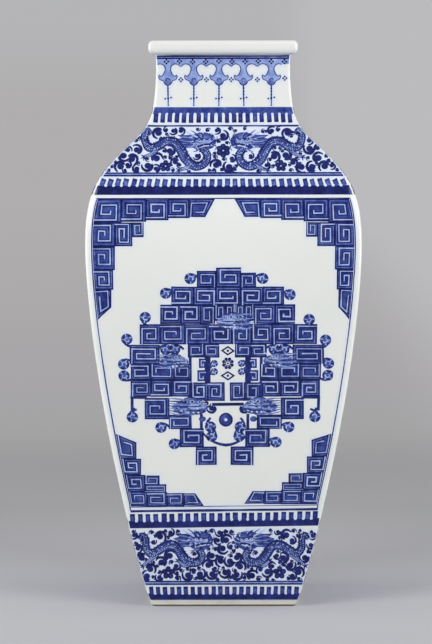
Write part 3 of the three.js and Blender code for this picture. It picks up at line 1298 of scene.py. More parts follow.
@dataclass
class NeckPainting:
    """Lappets hung from the lip, with tassels, over a line with teeth."""

    profile: Profile
    pendants: tuple[float, ...] = (-43.6, -23.1, -3.2, 16.1, 38.1)
    top: float = 435.6
    cusp: float = 429.4
    lobe_height: float = 427.3
    lobe_radius: float = 4.1
    stalk_half: float = 2.1
    tip: float = 414.6
    width_end: float = 52.8

    def build(self) -> PaintedSheet:
        """Draws the neck.

        Returns:
            The sheet, still flat.
        """
        sheet = PaintedSheet("neck_lappets", self.profile, 11, wrap=0.45, wobble=0.05)
        sheet.line(437.6, 1.1, Tone.DARK)
        sheet.line(435.7, 1.0, Tone.DARK)
        sheet.band(435.6, 437.8, 0.5)
        sheet.band(431.2, 435.6, 0.33, Layer.GROUND)
        spots = list(self.pendants)
        for index, spot in enumerate(spots):
            left = (spot - spots[index - 1]) / 2 if index else spot + self.width_end
            right = (spots[index + 1] - spot) / 2 if index + 1 < len(spots) else self.width_end - spot
            self._pendant(sheet, spot, left, right, index == 0, index + 1 == len(spots))
        for index in range(10):
            spot = -44.7 + index * 10.35
            self._cross(sheet, (spot, 433.3 + 0.3 * math.sin(index * 2.0)), 1.4)
        for left, right in zip(spots, spots[1:]):
            self._cross(sheet, ((left + right) / 2, 419.0), 1.3)
        self._cross(sheet, (spots[-1] + 10.6, 420.0), 1.3)
        return sheet

    def _edge(self, spot: float, reach: float, side: int, ends: bool) -> list[Point]:
        """Outline of one half of a pendant, from the cusp beside it down to its tip.

        Args:
            spot: Middle of the pendant.
            reach: Distance to the cusp.
            side: 1 for its right half and -1 for its left.
            ends: Whether the painting ends there instead of at a cusp.

        Returns:
            Points of the outline.
        """
        radius = (reach - self.stalk_half) / 2 if not ends else self.lobe_radius
        lobe = self.stalk_half + radius
        start = 38 if not ends else 60
        points = [] if ends else [(reach, self.cusp)]
        squash = self.lobe_radius / radius
        for x, y in arc_path((lobe, 0.0), radius, start, 208, 12):
            points.append((x, self.lobe_height + y * squash))
        points += smooth_path([points[-1], (3.6, 423.2), (5.4, 421.7), (6.9, 422.6)], 3)[1:]
        points += smooth_path(
            [(7.4, 421.2), (6.2, 419.0), (3.7, 418.2), (2.9, 416.4), (1.5, 415.1), (0.0, self.tip)], 3
        )
        return [(spot + side * x, y) for x, y in points]

    def _pendant(
        self, sheet: PaintedSheet, spot: float, left: float, right: float, first: bool, last: bool
    ) -> None:
        """Draws one lappet and the tassel under it.

        Args:
            sheet: The neck's sheet.
            spot: Middle of the lappet.
            left: Distance to the cusp on its left.
            right: Distance to the cusp on its right.
            first: Whether it is the leftmost.
            last: Whether it is the rightmost.
        """
        halves = (self._edge(spot, left, -1, first), self._edge(spot, right, 1, last))
        roof = 431.6
        outline = [(halves[0][0][0], roof), *halves[0], *halves[1][::-1][1:], (halves[1][0][0], roof)]
        sheet.shape(outline, 0.33)
        for half in halves:
            sheet.ribbon(half, [0.6, 0.75, 0.6, 0.8], Tone.DARK)
        sheet.disc((spot, 417.9), 2.6, 0.47, Layer.STROKE, 0.08, 1.0, 14)
        sheet.ribbon(arc_path((spot, 417.6), 2.9, -160, -20, 8), 0.9, Tone.DEEP, Layer.LINE)
        sheet.ribbon(arc_path((spot, 418.8), 1.3, 0, 250, 7), 0.5, Tone.DEEP, Layer.LINE)
        foot = 399.4
        lean = sheet.chance.uniform(-0.5, 0.3)
        stem = [(spot + lean * share, self.tip - share * (self.tip - foot)) for share in (0, 0.3, 0.7, 1)]
        sheet.ribbon(stem, [1.2, 0.9, 1.0, 0.7], Tone.DEEP, Layer.LINE)
        for height in (412.0, 409.6, 407.3):
            sheet.disc((spot + lean * 0.4, height), 0.75, Tone.DARK, Layer.DETAIL, segments=7)
        for across in (-2.3, 2.3):
            dot = (spot + lean * 0.7 + across, 404.5 + 0.2 * across)
            sheet.disc(dot, 0.75, Tone.DARK, Layer.DETAIL, segments=8)
        sheet.disc((spot + lean * 0.7, 404.3), 0.9, Tone.DARK, Layer.DETAIL, segments=8)
        sheet.disc((spot + lean, foot - 0.6), 0.62, Tone.DARK, Layer.DETAIL, segments=8)

    @staticmethod
    def _cross(sheet: PaintedSheet, centre: Point, reach: float) -> None:
        """Draws a cluster of four dots at a distance from their middle."""
        for x, y in ((reach, 0), (-reach, 0), (0, reach), (0, -reach)):
            sheet.disc((centre[0] + x, centre[1] + y), 0.6 * reach, Tone.DARK, Layer.DETAIL, segments=7)


@dataclass
class DragonBand:
    """A band of two dragons that face each other among comma scrolls."""

    name: str
    profile: Profile
    seed: int
    fit: Fit
    spine: tuple[Point, ...]
    girth: tuple[float, ...]
    head: Point
    blooms: tuple[Spot, ...]
    legs: tuple[tuple[Point, ...], ...]
    scroll_size: float = 4.7
    scroll_gap: float = 0.45
    wrap: float = 0.55

    def build(self) -> PaintedSheet:
        """Draws both halves of the band.

        Returns:
            The sheet, still flat.
        """
        sheet = PaintedSheet(self.name, self.profile, self.seed, self.fit, wrap=self.wrap, wobble=0.12)
        for mirror in (-1, 1):
            sheet.mirror = mirror
            self._dragon(sheet)
            for across, height, radius, petals in self.blooms:
                if across < 0 or mirror > 0:
                    sheet.flower((across, height), radius, petals)
        self._scrolls(sheet)
        return sheet

    def _scrolls(self, sheet: PaintedSheet) -> None:
        """Fills the ground with comma scrolls, as large as the room between the rest allows.

        Args:
            sheet: The band's sheet.
        """
        low, high = self.fit.drawn_low, self.fit.drawn_high
        widest = max(sheet.reach(self.fit.low), sheet.reach(self.fit.high))
        chance = sheet.chance
        taken = np.array(sheet.marks)
        for least, tries in ((3.9, 2500), (2.9, 2500), (1.4, 3500)):
            for _ in range(tries):
                spot = (chance.uniform(-widest, widest), chance.uniform(low, high))
                across, height = sheet.at(spot)
                gap = float(np.min(np.hypot(taken[:, 0] - across, taken[:, 1] - height)))
                edge = sheet.reach(height) - abs(across) + 0.8
                room = min(gap - self.scroll_gap, spot[1] - low, high - spot[1], edge)
                if room < least:
                    continue
                before = len(sheet.marks)
                radius = min(room + 0.3, self.scroll_size)
                sheet.curl(spot, radius, chance.uniform(0, 360), chance.choice((1, -1)))
                taken = np.vstack([taken, sheet.marks[before:]])

    def _dragon(self, sheet: PaintedSheet) -> None:
        """Draws one dragon: legs, body with its scales, mane and head.

        Args:
            sheet: The band's sheet.
        """
        body = smooth_path(self.spine, 5)
        for leg in self.legs:
            self._leg(sheet, smooth_path(leg, 4))
        shares = np.linspace(0, 1, len(self.girth))
        girth = [float(np.interp(i / (len(body) - 1), shares, self.girth)) for i in range(len(body))]
        sheet.ribbon(body, [g + 1.1 for g in girth], Tone.DARK)
        sheet.ribbon(body, girth, 0.55, Layer.LINE, 0.2)
        knots = [Vector(point) for point in body]
        sides = []
        for index, knot in enumerate(knots):
            along = knots[min(index + 1, len(knots) - 1)] - knots[max(index - 1, 0)]
            along.normalize()
            sides.append(Vector((-along.y, along.x)))
        back = [tuple(k + s * (g * 0.27)) for k, s, g in zip(knots, sides, girth)]
        sheet.ribbon(back, [g * 0.46 for g in girth], 0.84, Layer.DETAIL, 0.1)
        for index in range(4, len(knots) - 1):
            knot, side, size = knots[index], sides[index], girth[index]
            along = Vector((side.y, -side.x))
            root = knot - side * (size * 0.46)
            tip = knot - side * (size * 0.06) + along * (size * 0.1)
            sheet.ribbon([tuple(root), tuple(tip)], 0.7, Tone.DEEP, Layer.ACCENT)
            sheet.disc(tuple((root + tip) / 2 + along * 0.8), 0.4, Tone.PALE, Layer.ACCENT, segments=6)
            sheet.disc(tuple(knot + side * (size * 0.2)), 0.35, Tone.WASH, Layer.ACCENT, segments=6)
            for _ in range(3):
                spot = knot.lerp(knots[index + 1], sheet.chance.random())
                spot += side * (size * sheet.chance.uniform(-0.34, 0.36))
                radius, tone = sheet.chance.uniform(0.35, 0.6), sheet.chance.choice((0.22, 0.85, 0.95))
                sheet.disc(tuple(spot), radius, tone, Layer.ACCENT, segments=6)
            if index % 2 == 0:
                fin = knot + side * (size * 0.5 + 0.2)
                point = fin + side * 1.1 - along * 0.5
                sheet.ribbon([tuple(fin - along * 0.3), tuple(point)], [1.2, 0.3], Tone.DARK)
        self._mane(sheet)
        self._head(sheet)

    @staticmethod
    def _leg(sheet: PaintedSheet, path: list[Point]) -> None:
        """Draws a leg with three claws.

        Args:
            sheet: The band's sheet.
            path: The leg from the body to the foot.
        """
        sheet.ribbon(path, [4.2, 3.4, 2.6], Tone.DARK)
        sheet.ribbon(path, [3.0, 2.3, 1.5], Tone.WASH, Layer.LINE)
        knee, foot = Vector(path[-2]), Vector(path[-1])
        along = (foot - knee).normalized()
        for bend in (-50, 0, 50):
            claw = Matrix.Rotation(math.radians(bend), 2) @ along
            nail = [tuple(foot + claw * share) for share in (0.0, 1.8, 3.4)]
            sheet.ribbon(nail, [1.5, 1.2, 0.3], Tone.DEEP, Layer.DETAIL)
        for step in range(1, len(path) - 1):
            sheet.disc(path[step], 0.45, Tone.DEEP, Layer.DETAIL, segments=6)

    def _mane(self, sheet: PaintedSheet) -> None:
        """Draws the streaming mane behind the head.

        Args:
            sheet: The band's sheet.
        """
        x, y = self.head
        flame = [(x + across, y + rise) for across, rise in (
            (2.0, 4.6), (-4.0, 6.2), (-9.6, 5.6), (-15.8, 5.8), (-12.2, 3.4), (-17.2, 2.0), (-12.6, 0.4),
            (-16.4, -2.2), (-11.4, -2.6), (-13.0, -5.0), (-7.0, -4.2), (-1.6, -4.4),
        )]
        sheet.disc((x + 3.5, y + 0.6), 10.5, 0.5, Layer.STROKE, 0.3, 0.72, 20)
        for _ in range(26):
            bearing, reach = sheet.chance.uniform(0, 6.28), sheet.chance.uniform(3.0, 10.0)
            root = (x + 3.5 + reach * math.cos(bearing), y + 0.6 + 0.7 * reach * math.sin(bearing))
            tip = (root[0] + 2.6 * math.cos(bearing + 0.6), root[1] + 2.2 * math.sin(bearing + 0.6))
            sheet.ribbon([root, tip], [0.9, 0.4], sheet.chance.choice((0.15, 0.3, 0.9)), Layer.ACCENT)
        sheet.shape(flame, 0.64, Layer.LINE)
        sheet.ribbon(flame, 0.5, Tone.DEEP, Layer.DETAIL)
        for strand in range(8):
            rise = -3.4 + strand * 1.1
            length = 13.0 - 0.4 * (strand - 4) ** 2
            sway = 0.9 * math.sin(strand * 1.4)
            path = smooth_path([
                (x - 2.0, y + rise * 0.6), (x - 2 - length * 0.5, y + rise + sway),
                (x - 2 - length, y + rise * 1.2 + 0.6),
            ], 4)
            tone = Tone.DEEP if strand % 2 else Tone.WASH
            sheet.ribbon(path, [0.9, 0.7, 0.3], tone, Layer.DETAIL)

    def _head(self, sheet: PaintedSheet) -> None:
        """Draws the head: brow, snout, eyes, horns and whiskers.

        Args:
            sheet: The band's sheet.
        """
        def at(across: float, rise: float) -> Point:
            """Place of a point of the head."""
            return self.head[0] + 1.12 * across, self.head[1] + 1.12 * rise

        for outline, tone, layer in (
            (((-3.6, 2.2), (0, 4.0), (4.2, 2.9), (8.2, 2.6), (10.0, 0.6), (8.6, -2.4), (3.6, -3.4),
              (0, -4.4), (-3.8, -2.4)), Tone.DEEP, Layer.DETAIL),
            (((-2.4, 1.0), (0.6, 2.2), (3.0, 1.0), (7.4, 1.6), (8.8, 0.4), (7.6, -0.9), (4.2, -1.0),
              (0.2, -2.4)), Tone.WASH, Layer.ACCENT),
        ):
            sheet.shape(smooth_path([at(*point) for point in outline], 3), tone, layer)
        for across, rise, radius in ((0.6, 1.4, 1.15), (4.0, 1.3, 1.0), (8.0, 1.0, 0.9)):
            sheet.disc(at(across, rise), radius, Tone.RESERVE, Layer.ACCENT)
            sheet.disc(at(across, rise), radius * 0.5, Tone.DARK, Layer.TOP, segments=6)
        for path, width, tone in (
            (((8.6, -1.5), (3.0, -2.0), (-1.0, -3.2)), 0.6, Tone.DARK),
            (((7.6, -2.5), (3.6, -3.1), (0.4, -4.2)), 0.7, Tone.RESERVE),
            (((-1.6, 0.4), (0.8, -0.6), (3.4, -0.2)), 0.5, Tone.DARK),
            (((-0.6, 3.4), (-4.6, 5.6), (-9.0, 8.2)), 1.2, Tone.PALE),
            (((1.0, 3.8), (-2.2, 6.6), (-5.4, 8.8)), 1.0, Tone.DEEP),
            (((3.4, 3.4), (2.6, 5.8), (0.4, 7.6)), 1.1, Tone.DEEP),
            (((6.0, 3.2), (6.6, 5.4), (5.0, 7.0)), 1.1, Tone.MID),
            (((8.8, 2.4), (10.6, 4.4), (9.2, 6.4)), 1.0, Tone.DEEP),
            (((9.6, 0.4), (12.6, 1.4), (13.2, 4.4)), 0.9, Tone.DEEP),
            (((9.2, -1.6), (12.4, -3.0), (11.6, -6.2)), 0.9, Tone.DEEP),
            (((6.6, -3.4), (6.8, -5.4), (4.6, -6.8)), 1.1, Tone.MID),
            (((3.4, -3.8), (2.8, -6.0), (0.4, -7.0)), 1.2, Tone.DEEP),
            (((0.6, -4.4), (-1.0, -6.4), (-3.6, -6.8)), 1.1, Tone.MID),
        ):
            curve = smooth_path([at(*point) for point in path], 4)
            sheet.ribbon(curve, [width, width * 0.9, width * 0.4], tone, Layer.TOP)


def dragon_bands(profile: Profile) -> list[DragonBand]:
    """Lays out the bands round the shoulder and above the foot.

    Args:
        profile: The vase's profile.

    Returns:
        The two bands.
    """
    shoulder = DragonBand(
        name="shoulder_dragons", profile=profile, seed=23, fit=Fit(343.7, 381.3, 346.6, 381.7),
        spine=(
            (-56.6, 375.4), (-59.3, 378.6), (-61.6, 375.8), (-61.4, 370.0), (-58.0, 364.4),
            (-51.6, 365.4), (-45.0, 369.4), (-38.0, 368.8), (-33.0, 362.4), (-29.0, 354.4),
            (-21.6, 349.0), (-14.4, 351.8), (-12.6, 358.6), (-17.2, 364.4),
        ),
        girth=(2.4, 4.6, 5.2, 6.2, 6.8, 7.0, 6.6, 5.4, 4.6),
        head=(-19.5, 368.8),
        blooms=((-45.0, 349.2, 4.8, 5), (0.0, 361.8, 5.6, 6)),
        legs=(
            ((-51.0, 364.0), (-55.6, 359.4), (-61.4, 356.8)),
            ((-24.0, 350.6), (-28.6, 347.8), (-34.0, 345.8)),
        ),
    )
    lower = DragonBand(
        name="lower_dragons", profile=profile, seed=37, fit=Fit(19.7, 61.6, 20.9, 64.6),
        spine=(
            (-67.2, 53.6), (-64.4, 56.6), (-61.8, 53.4), (-61.6, 46.6), (-57.6, 42.0),
            (-51.6, 44.8), (-44.6, 48.8), (-38.2, 47.8), (-33.4, 41.0), (-28.0, 35.4),
            (-20.6, 35.4), (-17.4, 40.6), (-20.8, 46.2),
        ),
        girth=(2.4, 4.2, 5.0, 6.0, 6.6, 6.8, 6.4, 5.4, 4.4),
        head=(-22.5, 51.8),
        blooms=((-44.2, 26.8, 5.2, 5),),
        legs=(
            ((-52.4, 42.0), (-58.0, 37.6), (-64.0, 32.6)),
            ((-26.0, 34.2), (-31.4, 32.4), (-36.0, 36.0)),
        ),
        scroll_size=4.5, wrap=0.65,
    )
    return [shoulder, lower]


class Coil(Enum):
    """Where a key pattern's pale line enters its block, and which way it first runs."""

    TOP_LEFT_ACROSS = "a"
    TOP_RIGHT_ACROSS = "b"
    LOW_LEFT_ACROSS = "c"
    LOW_RIGHT_ACROSS = "d"
    TOP_LEFT_DOWN = "e"
    TOP_RIGHT_DOWN = "f"
    LOW_LEFT_UP = "g"
    LOW_RIGHT_UP = "h"

    def path(self, width: float, height: float, legs: int) -> list[Point]:
        """Line of the coil in a block.

        Args:
            width: Width of the block.
            height: Height of the block.
            legs: Straight runs of the line.

        Returns:
            Its corners, from the block's lower left.
        """
        upright = self.value in "efgh"
        long, short = (height, width) if upright else (width, height)
        unit = min(width, height)
        turns = (
            (long - 0.22 * unit, None), (None, 0.25 * unit), (0.26 * unit, None),
            (None, short - 0.37 * unit), (long - 0.46 * unit, None), (None, 0.49 * unit),
        )
        x, y = 0.0, short - 0.12 * unit
        points = [(x, y)]
        for across, up in turns[:legs]:
            x = x if across is None else across
            y = y if up is None else up
            points.append((x, y))
        if upright:
            points = [(width - b, height - a) for a, b in points]
        if self.value in "bdfh":
            points = [(width - a, b) for a, b in points]
        if self.value in "cdgh":
            points = [(a, height - b) for a, b in points]
        return points


@dataclass(frozen=True)
class KeyBlock:
    """One block of the key pattern, by its four corners."""

    corners: tuple[Point, Point, Point, Point]
    coil: Coil
    legs: int = 5
    wash: float = 0.7

    def draw(self, sheet: PaintedSheet) -> None:
        """Draws the block: wash, dark outline and the coiled line in reserve.

        Args:
            sheet: The side to draw on.
        """
        knots = [Vector(corner) for corner in self.corners]
        middle = sum(knots, Vector((0.0, 0.0))) / 4
        knots = [knot + (knot - middle).normalized() * 0.45 for knot in knots]
        low_left, low_right, high_right, high_left = knots
        width = ((low_right - low_left).length + (high_right - high_left).length) / 2
        height = ((high_left - low_left).length + (high_right - low_right).length) / 2
        wash = self.wash + sheet.chance.uniform(-0.07, 0.07)
        sheet.patch([tuple(knot) for knot in knots], wash)
        for inset, line, tone in ((0.45, 0.9, 0.95), (1.75, 0.4, 0.5)):
            rim = [tuple(knot.lerp(middle, inset * 1.25 / (knot - middle).length)) for knot in knots]
            sheet.ribbon(rim, line, tone, closed=True)
        points = []
        for across, up in self.coil.path(width, height, self.legs):
            bottom = low_left.lerp(low_right, across / width)
            top = high_left.lerp(high_right, across / width)
            points.append(tuple(bottom.lerp(top, up / height)))
        line = min(1.0, min(width, height) * 0.075)
        sheet.ribbon(points, line * 2.8, 0.93, Layer.LINE)
        pale = [line * sheet.chance.uniform(0.65, 1.2) for _ in range(5)]
        sheet.ribbon(points, pale, sheet.chance.uniform(0.18, 0.32), Layer.DETAIL)


@dataclass
class PanelPainting:
    """The panel's frame lines and the stepped key pattern in its four corners."""

    profile: Profile
    top_line: float = 326.9
    low_line: float = 79.9
    inner_low_line: float = 83.2
    frame_gap: float = 0.55

    def frames(self) -> PaintedSheet:
        """Draws the frame lines.

        Returns:
            The sheet, still flat.
        """
        sheet = PaintedSheet("panel_frames", self.profile, 5, bleed=0.6, wobble=0.06)
        steps = 44
        for side in (-1, 1):
            path = []
            for step in range(steps + 1):
                height = self.low_line + (self.top_line - self.low_line) * step / steps
                path.append((side * (self.profile.edge(height) - self.frame_gap), height))
            widths = [sheet.chance.uniform(0.7, 1.05) for _ in range(12)]
            sheet.ribbon(path, widths, Tone.DEEP - 0.08, Layer.LINE, 0.2)
        sheet.line(self.top_line, 0.9, Tone.DEEP, self.frame_gap)
        sheet.tilt = 0.01
        sheet.line(self.low_line, 1.9, Tone.DEEP, self.frame_gap)
        sheet.line(self.inner_low_line, 0.6, Tone.MID, self.frame_gap)
        return sheet

    def corners(self) -> PaintedSheet:
        """Draws the four corners' key pattern.

        Returns:
            The sheet, still flat.
        """
        sheet = PaintedSheet("corner_frets", self.profile, 7, edge_gap=1.35, bleed=0.5, wobble=0.14)
        for mirror, axis in ((1, 0.0), (-1, 2.2)):
            sheet.mirror = mirror
            sheet.centre = axis
            sheet.fit = Fit(230.0, 323.2, 233.7, 326.9)
            for low, high, edges, coils in (
                (304.8, 322.4, (None, -79.4), "c"), (305.6, 322.4, (-79.0, -60.3), "c"),
                (306.9, 322.4, (-59.9, -42.9), "c"), (308.4, 322.4, (-42.5, -26.8), "c"),
                (286.5, 304.2, (None, -84.4), "a"), (286.6, 304.4, (-84.0, -71.0), "a"),
                (293.8, 304.4, (-70.7, -62.2), "f"), (268.2, 286.0, (None, -84.6), "a"),
                (252.8, 267.8, (None, -86.0), "a"),
            ):
                self._block(sheet, low, high, edges, coils)
            slant = ((-26.4, 309.2), (-14.4, 309.2), (-7.1, 322.4), (-26.4, 322.4))
            KeyBlock(slant, Coil("g"), 4).draw(sheet)
            tip = (self._rim(sheet, 229.6), (-87.5, 238.8), (-87.5, 252.4), self._rim(sheet, 252.4))
            KeyBlock(tip, Coil("a"), 4).draw(sheet)
            sheet.centre = 0.15 * axis
            sheet.fit = Fit(80.9, 140.0, 82.7, 142.7)
            lift = 0.0 if mirror == 1 else 1.6
            for low, high, edges, coils in (
                (106.6, 119.2, (None, -65.4), "e"), (93.3, 106.2, (None, -62.2), "e"),
                (98.2, 105.8, (-61.8, -51.0), "e"), (92.6, 98.6, (-61.8, -45.8), "c"),
                (81.6, 92.9, (None, -60.6), "e"), (81.6, 92.6, (-60.2, -45.0), "a"),
                (81.8, 91.6, (-44.6, -31.6), "a"),
            ):
                self._block(sheet, low + lift, high + lift, edges, coils)
            slant = ((-31.2, 82.2 + lift), (-16.6, 82.2 + lift), (-22.6, 91.4 + lift), (-31.2, 91.4 + lift))
            KeyBlock(slant, Coil("a"), 3).draw(sheet)
            low, high = 119.6 + lift, 138.6
            tip = (self._rim(sheet, low), (-68.9, low), (-68.9, 132.4 + lift), self._rim(sheet, high))
            KeyBlock(tip, Coil("e"), 4).draw(sheet)
        return sheet

    def _rim(self, sheet: PaintedSheet, height: float) -> Point:
        """Point of the panel's edge at a drawn height."""
        reach = self.profile.edge(sheet.fit.height(height)) - sheet.edge_gap
        return (-reach if sheet.mirror == 1 else sheet.centre - reach), height

    def _block(
        self, sheet: PaintedSheet, low: float, high: float, edges: tuple[float | None, float], coil: str
    ) -> None:
        """Draws a corner block, which starts at the panel's edge where its left end is open.

        Args:
            sheet: The side to draw on.
            low: Its lower height.
            high: Its upper height.
            edges: Its left and right end.
            coil: Which way its line runs.
        """
        left, right = edges
        low_left = self._rim(sheet, low) if left is None else (left, low)
        high_left = self._rim(sheet, high) if left is None else (left, high)
        corners = (low_left, (right, low), (right, high), high_left)
        KeyBlock(corners, Coil(coil), 6 if high - low > 12 else 5).draw(sheet)


@dataclass
class Medallion:
    """The lozenge of key pattern in the middle of a panel, with scrolls and beast masks."""

    profile: Profile
    rows: tuple[tuple[float, float, tuple[float, ...], str], ...] = (
        (264.8, 253.2, (-20.3, -5.9), "h"),
        (267.4, 253.2, (-5.5, 13.2), "b"),
        (263.4, 253.2, (13.6, 24.9), "g"),
        (252.7, 239.3, (-40.2, -23.3, -6.0, 13.4, 30.7, 46.7), "chcgc"),
        (238.9, 225.0, (-48.9, -33.3, -17.7, -7.0), "aah"),
        (238.9, 227.4, (-6.6, 1.2, 8.9, 16.3, 23.4), "efef"),
        (238.9, 225.0, (23.7, 40.1, 55.3), "gd"),
        (223.8, 209.2, (-65.0, -49.4, -30.3, -10.8, 6.4, 21.6, 37.9, 54.9, 72.4), "gagagegb"),
        (207.8, 193.8, (-72.9, -50.2), "g"),
        (207.8, 193.8, (54.1, 77.9), "h"),
        (208.4, 198.9, (-27.6, -15.5, -3.8), "fb"),
        (208.4, 198.9, (9.2, 21.6, 33.4), "ea"),
        (192.8, 181.4, (-72.2, -56.8, -38.8, -25.3), "aee"),
        (192.8, 181.4, (28.7, 42.6, 59.4, 75.6), "eff"),
        (180.4, 168.3, (-72.3, -56.8, -40.8, -26.1), "gcb"),
        (180.4, 168.3, (30.2, 44.7, 60.4, 74.8), "aag"),
        (178.4, 164.9, (-25.4, -12.4, 0.5), "ea"),
        (178.4, 164.9, (5.2, 16.5, 28.3), "fb"),
        (166.4, 150.4, (-61.5, -42.7), "a"),
        (166.4, 150.4, (45.1, 62.3), "b"),
        (153.0, 142.7, (-42.7, -25.5), "g"),
        (153.0, 142.7, (26.3, 45.1), "h"),
        (142.3, 128.5, (-34.1, -16.1), "b"),
        (142.3, 128.5, (17.3, 35.7), "a"),
        (127.9, 114.2, (-21.7, -5.9), "g"),
        (127.9, 114.2, (5.8, 23.1), "h"),
    )
    scrolls: tuple[Spot, ...] = (
        (-25.9, 259.3, 0, 1), (30.4, 259.3, 180, -1), (-45.0, 248.0, 0, 1), (51.6, 246.8, 180, -1),
        (-61.0, 229.4, 290, -1), (66.6, 227.6, 250, 1), (-75.4, 212.6, 300, -1), (79.4, 211.6, 240, 1),
        (-78.0, 193.0, 20, 1), (-77.8, 184.0, 340, -1), (81.8, 193.4, 160, -1), (81.4, 184.2, 200, 1),
        (-71.6, 151.6, 60, 1), (71.4, 151.6, 120, -1), (-49.2, 143.4, 0, 1), (51.0, 143.6, 180, -1),
        (-38.8, 130.4, 0, 1), (41.0, 131.6, 180, -1), (-10.4, 143.8, 90, 1), (-9.4, 136.2, 90, -1),
        (13.0, 143.8, 90, -1), (12.0, 136.4, 90, 1), (-38.2, 204.6, 0, 1), (-45.0, 204.4, 180, -1),
        (39.4, 204.6, 180, -1), (47.0, 204.6, 0, 1),
    )
    bars: tuple[tuple[Point, ...], ...] = (
        ((-63.6, 224.0), (-63.6, 209.0)), ((-73.0, 167.0), (-60.0, 167.0)),
        ((-71.8, 167.6), (-71.8, 157.8), (-69.4, 157.8)), ((60.8, 167.0), (75.4, 167.0)),
        ((74.2, 167.6), (74.2, 157.8), (71.2, 157.8)), ((-42.9, 151.6), (-26.0, 151.6)),
        ((-60.6, 151.8), (-43.0, 151.8)), ((28.4, 151.6), (61.6, 151.6)),
        ((-17.4, 154.0), (-17.4, 128.8)), ((18.8, 154.0), (18.8, 128.8)),
        ((-34.0, 129.6), (-17.0, 129.6)), ((18.0, 129.6), (36.6, 129.6)),
        ((-60.6, 181.0), (-26.4, 181.0)), ((30.0, 181.0), (62.0, 181.0)),
        ((-26.2, 199.6), (-26.2, 166.0)), ((29.2, 198.4), (29.2, 166.0)),
    )
    masks: tuple[Spot, ...] = (
        (8.0, 225.6, 13.5, -1), (-39.0, 194.8, 11.5, 1), (43.0, 195.6, 12.0, -1), (-27.0, 159.2, 14.5, 1),
        (29.0, 159.6, 14.0, -1),
    )
    scroll_radius: float = 4.5
    centre: float = 3.3
    rosette_height: float = 149.4
    swag: tuple[Point, ...] = (
        (-17.5, 140.8), (-12.0, 134.4), (-5.9, 131.2), (1.9, 129.4), (9.0, 131.0), (15.4, 134.4),
        (20.6, 140.8),
    )

    def build(self) -> PaintedSheet:
        """Draws the medallion.

        Returns:
            The sheet, still flat.
        """
        fit = Fit(114.0, 266.0, 117.2, 271.6)
        sheet = PaintedSheet("medallion", self.profile, 3, fit, edge_gap=8.0, bleed=0.5, wobble=0.17)
        for high, low, edges, coils in self.rows:
            for left, right, coil in zip(edges, edges[1:], coils):
                size = min(right - left, high - low)
                legs = 6 if size > 12 else 5
                floor = low - 0.3
                corners = ((left, floor), (right, floor), (right, high), (left, high))
                KeyBlock(corners, Coil(coil), legs, 0.77).draw(sheet)
        for bar in self.bars:
            sheet.ribbon(bar, 2.3, Tone.DEEP, Layer.STROKE, 0.2)
        for across, height, angle, turn in self.scrolls:
            self._scroll(sheet, (across, height), self.scroll_radius, angle, turn)
        for across, height, size, facing in self.masks:
            self._mask(sheet, (across, height), size, facing)
        self._posts(sheet)
        self._rosette(sheet)
        self._middle(sheet)
        return sheet

    @staticmethod
    def _scroll(sheet: PaintedSheet, centre: Point, radius: float, angle: float, turn: int) -> None:
        """Draws a round tufted scroll that hangs on the block beside it.

        Args:
            sheet: The panel's sheet.
            centre: Its middle.
            radius: Its radius.
            angle: Direction from which the line comes in, in degrees.
            turn: 1 where it curls in anticlockwise, otherwise -1.
        """
        sheet.disc(centre, radius, 0.6, Layer.WASH, 0.25, 0.96, 16)
        stem = [
            polar(centre, radius * stretch, math.radians(angle + turn * turned))
            for stretch, turned in ((1.6, 0), (1.12, 22), (0.95, 60))
        ]
        sheet.ribbon(smooth_path(stem, 3), [1.6, 2.0, 0.8], Tone.DEEP)
        for step in range(8):
            bearing = math.radians(angle + turn * (30 + 42 * step + sheet.chance.uniform(-8, 8)))
            streak = [polar(centre, radius * share, bearing) for share in (0.42, 0.9)]
            widths, tone = [0.5, 1.6], 0.92
            if step % 2 == 0:
                widths, tone = [0.35, 0.8], sheet.chance.uniform(0.15, 0.35)
            sheet.ribbon(streak, widths, tone, Layer.LINE)
        path = []
        for step in range(8):
            share = step / 7
            bearing = math.radians(angle - turn * (35 - 260 * share))
            path.append(polar(centre, radius * (0.5 - 0.3 * share), bearing))
        sheet.ribbon(path, [1.0, 0.9, 0.7, 0.5], sheet.chance.uniform(0.15, 0.35), Layer.DETAIL)

    @staticmethod
    def _mask(sheet: PaintedSheet, centre: Point, size: float, facing: int) -> None:
        """Draws a beast mask in paler washes.

        Args:
            sheet: The panel's sheet.
            centre: Its middle.
            size: Half of its length.
            facing: 1 where it looks to the right, otherwise -1.
        """
        def at(x: float, y: float) -> Point:
            """Place of a point on the mask, in shares of its size."""
            return centre[0] + facing * x * size, centre[1] + y * size

